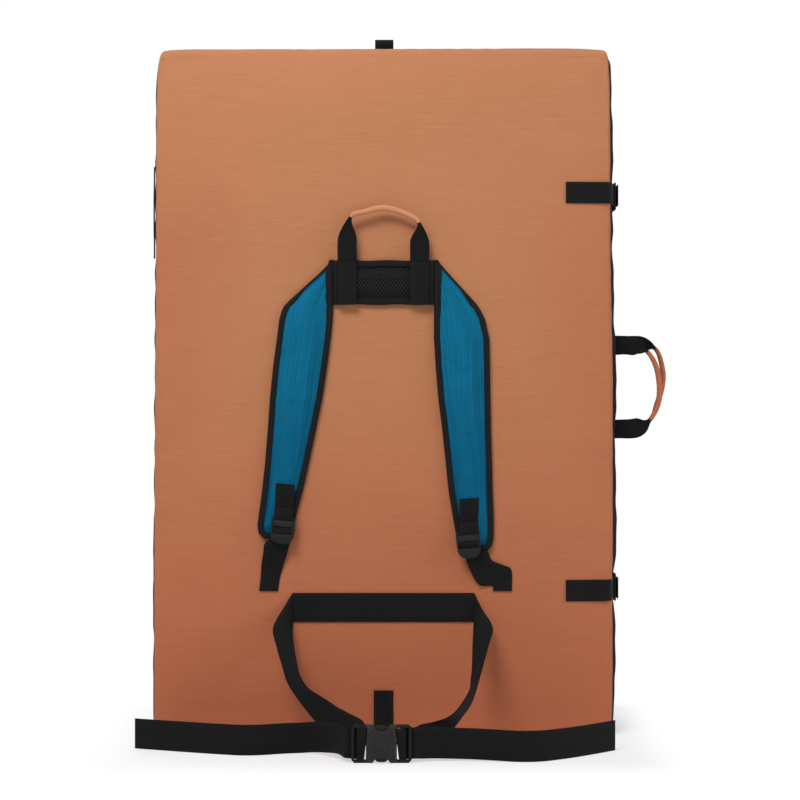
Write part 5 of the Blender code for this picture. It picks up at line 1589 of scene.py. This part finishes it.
def lay_floor(values):
    """Pale paper that turns white a little way off the pad."""
    clear_picks()
    bpy.ops.mesh.primitive_plane_add(size=9, location=(0, 0, 0))
    floor = added("floor")
    finish, tree, shader = new_finish("floor_paper", 0.9, specular=0.1)
    grain = add_node(tree, "ShaderNodeTexNoise", {"Vector": object_place(tree), "Scale": 40, "Detail": 4})
    shade = toned(values.floor, 0.985)
    colour = blend_colours(tree, grain.outputs["Fac"], values.floor, shade)
    tree.links.new(colour, shader.inputs["Base Color"])
    seen = seen_directly(tree)
    place = add_node(tree, "ShaderNodeSeparateXYZ", {0: object_place(tree)})
    # White beyond a rectangle round the pad, sooner in front of it than behind it
    beyond = []
    for axis, centre, half in ((0, 0.0, 0.300), (1, -0.02, 0.185)):
        off = math_node(tree, "ABSOLUTE", math_node(tree, "SUBTRACT", place.outputs[axis], centre))
        beyond.append(math_node(tree, "MAXIMUM", math_node(tree, "SUBTRACT", off, half), 0.0))
    squares = [math_node(tree, "MULTIPLY", off, off) for off in beyond]
    far = math_node(tree, "SQRT", math_node(tree, "ADD", *squares))
    faded = math_node(tree, "MULTIPLY", smooth_band(tree, far, 0.0, 0.075), 0.45)
    white = math_node(tree, "MULTIPLY", math_node(tree, "ADD", faded, 0.55), seen)
    glow = add_node(tree, "ShaderNodeEmission", {"Color": (1, 1, 1, 1), "Strength": 1.0})
    mixed = add_node(tree, "ShaderNodeMixShader", {0: white, 1: shader.outputs[0], 2: glow.outputs[0]})
    tree.links.new(mixed.outputs[0], tree.nodes["Material Output"].inputs["Surface"])
    floor.data.materials.append(finish)


def fill_world(scene, values):
    """Even light from all round, and white where the camera looks past the floor."""
    world = bpy.data.worlds.new("studio_world")
    world.use_nodes = True
    scene.world = world
    tree = world.node_tree
    plain = tree.nodes["Background"]
    plain.inputs["Strength"].default_value = values.fill
    plain.inputs["Color"].default_value = (1, 1, 1, 1)
    paper = add_node(tree, "ShaderNodeBackground", {"Color": (1, 1, 1, 1), "Strength": 1.0})
    seen = seen_directly(tree)
    mixed = add_node(tree, "ShaderNodeMixShader", {0: seen, 1: plain.outputs[0], 2: paper.outputs[0]})
    tree.links.new(mixed.outputs[0], tree.nodes["World Output"].inputs["Surface"])


def hang_lights(values):
    """Three soft lights: above the front, at the right and behind."""
    aim = Vector((0, 0, 0.45))
    for name, place, size, power in (
        ("key_light", (-0.8, -1.6, 2.5), (1.1, 0.8), values.key),
        ("side_light", (2.2, -0.9, 1.1), (0.8, 1.6), values.key * 0.27),
        ("back_light", (-0.6, 2.2, 1.7), (1.6, 1.2), values.key * 0.5),
    ):
        clear_picks()
        way = (aim - Vector(place)).to_track_quat("-Z", "Y").to_euler()
        bpy.ops.object.light_add(type="AREA", location=place, rotation=way)
        lamp = bpy.context.object
        lamp.name = name
        lamp.data.shape = "RECTANGLE"
        lamp.data.size, lamp.data.size_y = size
        lamp.data.energy = power


def place_camera(scene, values):
    """The camera, square on to the harness side."""
    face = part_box("front_outer_panel")[0].y
    place = (CAMERA_ACROSS, face - values.distance, CAMERA_UP)
    bpy.ops.object.camera_add(location=place, rotation=(math.pi / 2, 0, 0))
    camera = bpy.context.object
    camera.name = "photo_camera"
    camera.data.lens = values.lens
    camera.data.sensor_width = 36
    scene.camera = camera
    scene.view_settings.view_transform = "Standard"


class PAD_OT_studio(bpy.types.Operator):
    """Pale floor, white background, soft lights and the camera"""

    bl_idname = "pad.studio"
    bl_label = "Studio"

    def execute(self, context):
        values = studio()
        scene = context.scene
        lay_floor(values)
        fill_world(scene, values)
        hang_lights(values)
        place_camera(scene, values)
        clear_picks()
        return {"FINISHED"}


class PAD_PT_sidebar(bpy.types.Panel):
    """Lists the pieces of the dressing"""

    bl_label = "Bouldering pad"
    bl_idname = "PAD_PT_sidebar"
    bl_space_type = "VIEW_3D"
    bl_region_type = "UI"
    bl_category = "Pad"

    def draw(self, context):
        layout = self.layout
        scene = context.scene
        for group in (scene.pad_fabrics, scene.pad_sizes, scene.pad_studio):
            box = layout.box()
            for key in group.__annotations__:
                box.prop(group, key)
        for operator in OPERATORS:
            layout.operator(operator.bl_idname)


OPERATORS = (
    PAD_OT_covers, PAD_OT_foams, PAD_OT_hinge, PAD_OT_shoulder_pads, PAD_OT_yoke, PAD_OT_bindings,
    PAD_OT_webbing, PAD_OT_handles, PAD_OT_fittings, PAD_OT_studio,
)
GROUPS = {"pad_fabrics": PadFabrics, "pad_sizes": PadSizes, "pad_studio": PadStudio}


def register():
    for group in (*GROUPS.values(), *OPERATORS, PAD_PT_sidebar):
        bpy.utils.register_class(group)
    for name, group in GROUPS.items():
        setattr(bpy.types.Scene, name, bpy.props.PointerProperty(type=group))


def unregister():
    for name in GROUPS:
        delattr(bpy.types.Scene, name)
    for group in (PAD_PT_sidebar, *OPERATORS[::-1], *GROUPS.values()):
        bpy.utils.unregister_class(group)


def main():
    register()
    for operator in OPERATORS:
        group, name = operator.bl_idname.split(".")
        getattr(getattr(bpy.ops, group), name)()


if __name__ == "__main__":
    main()
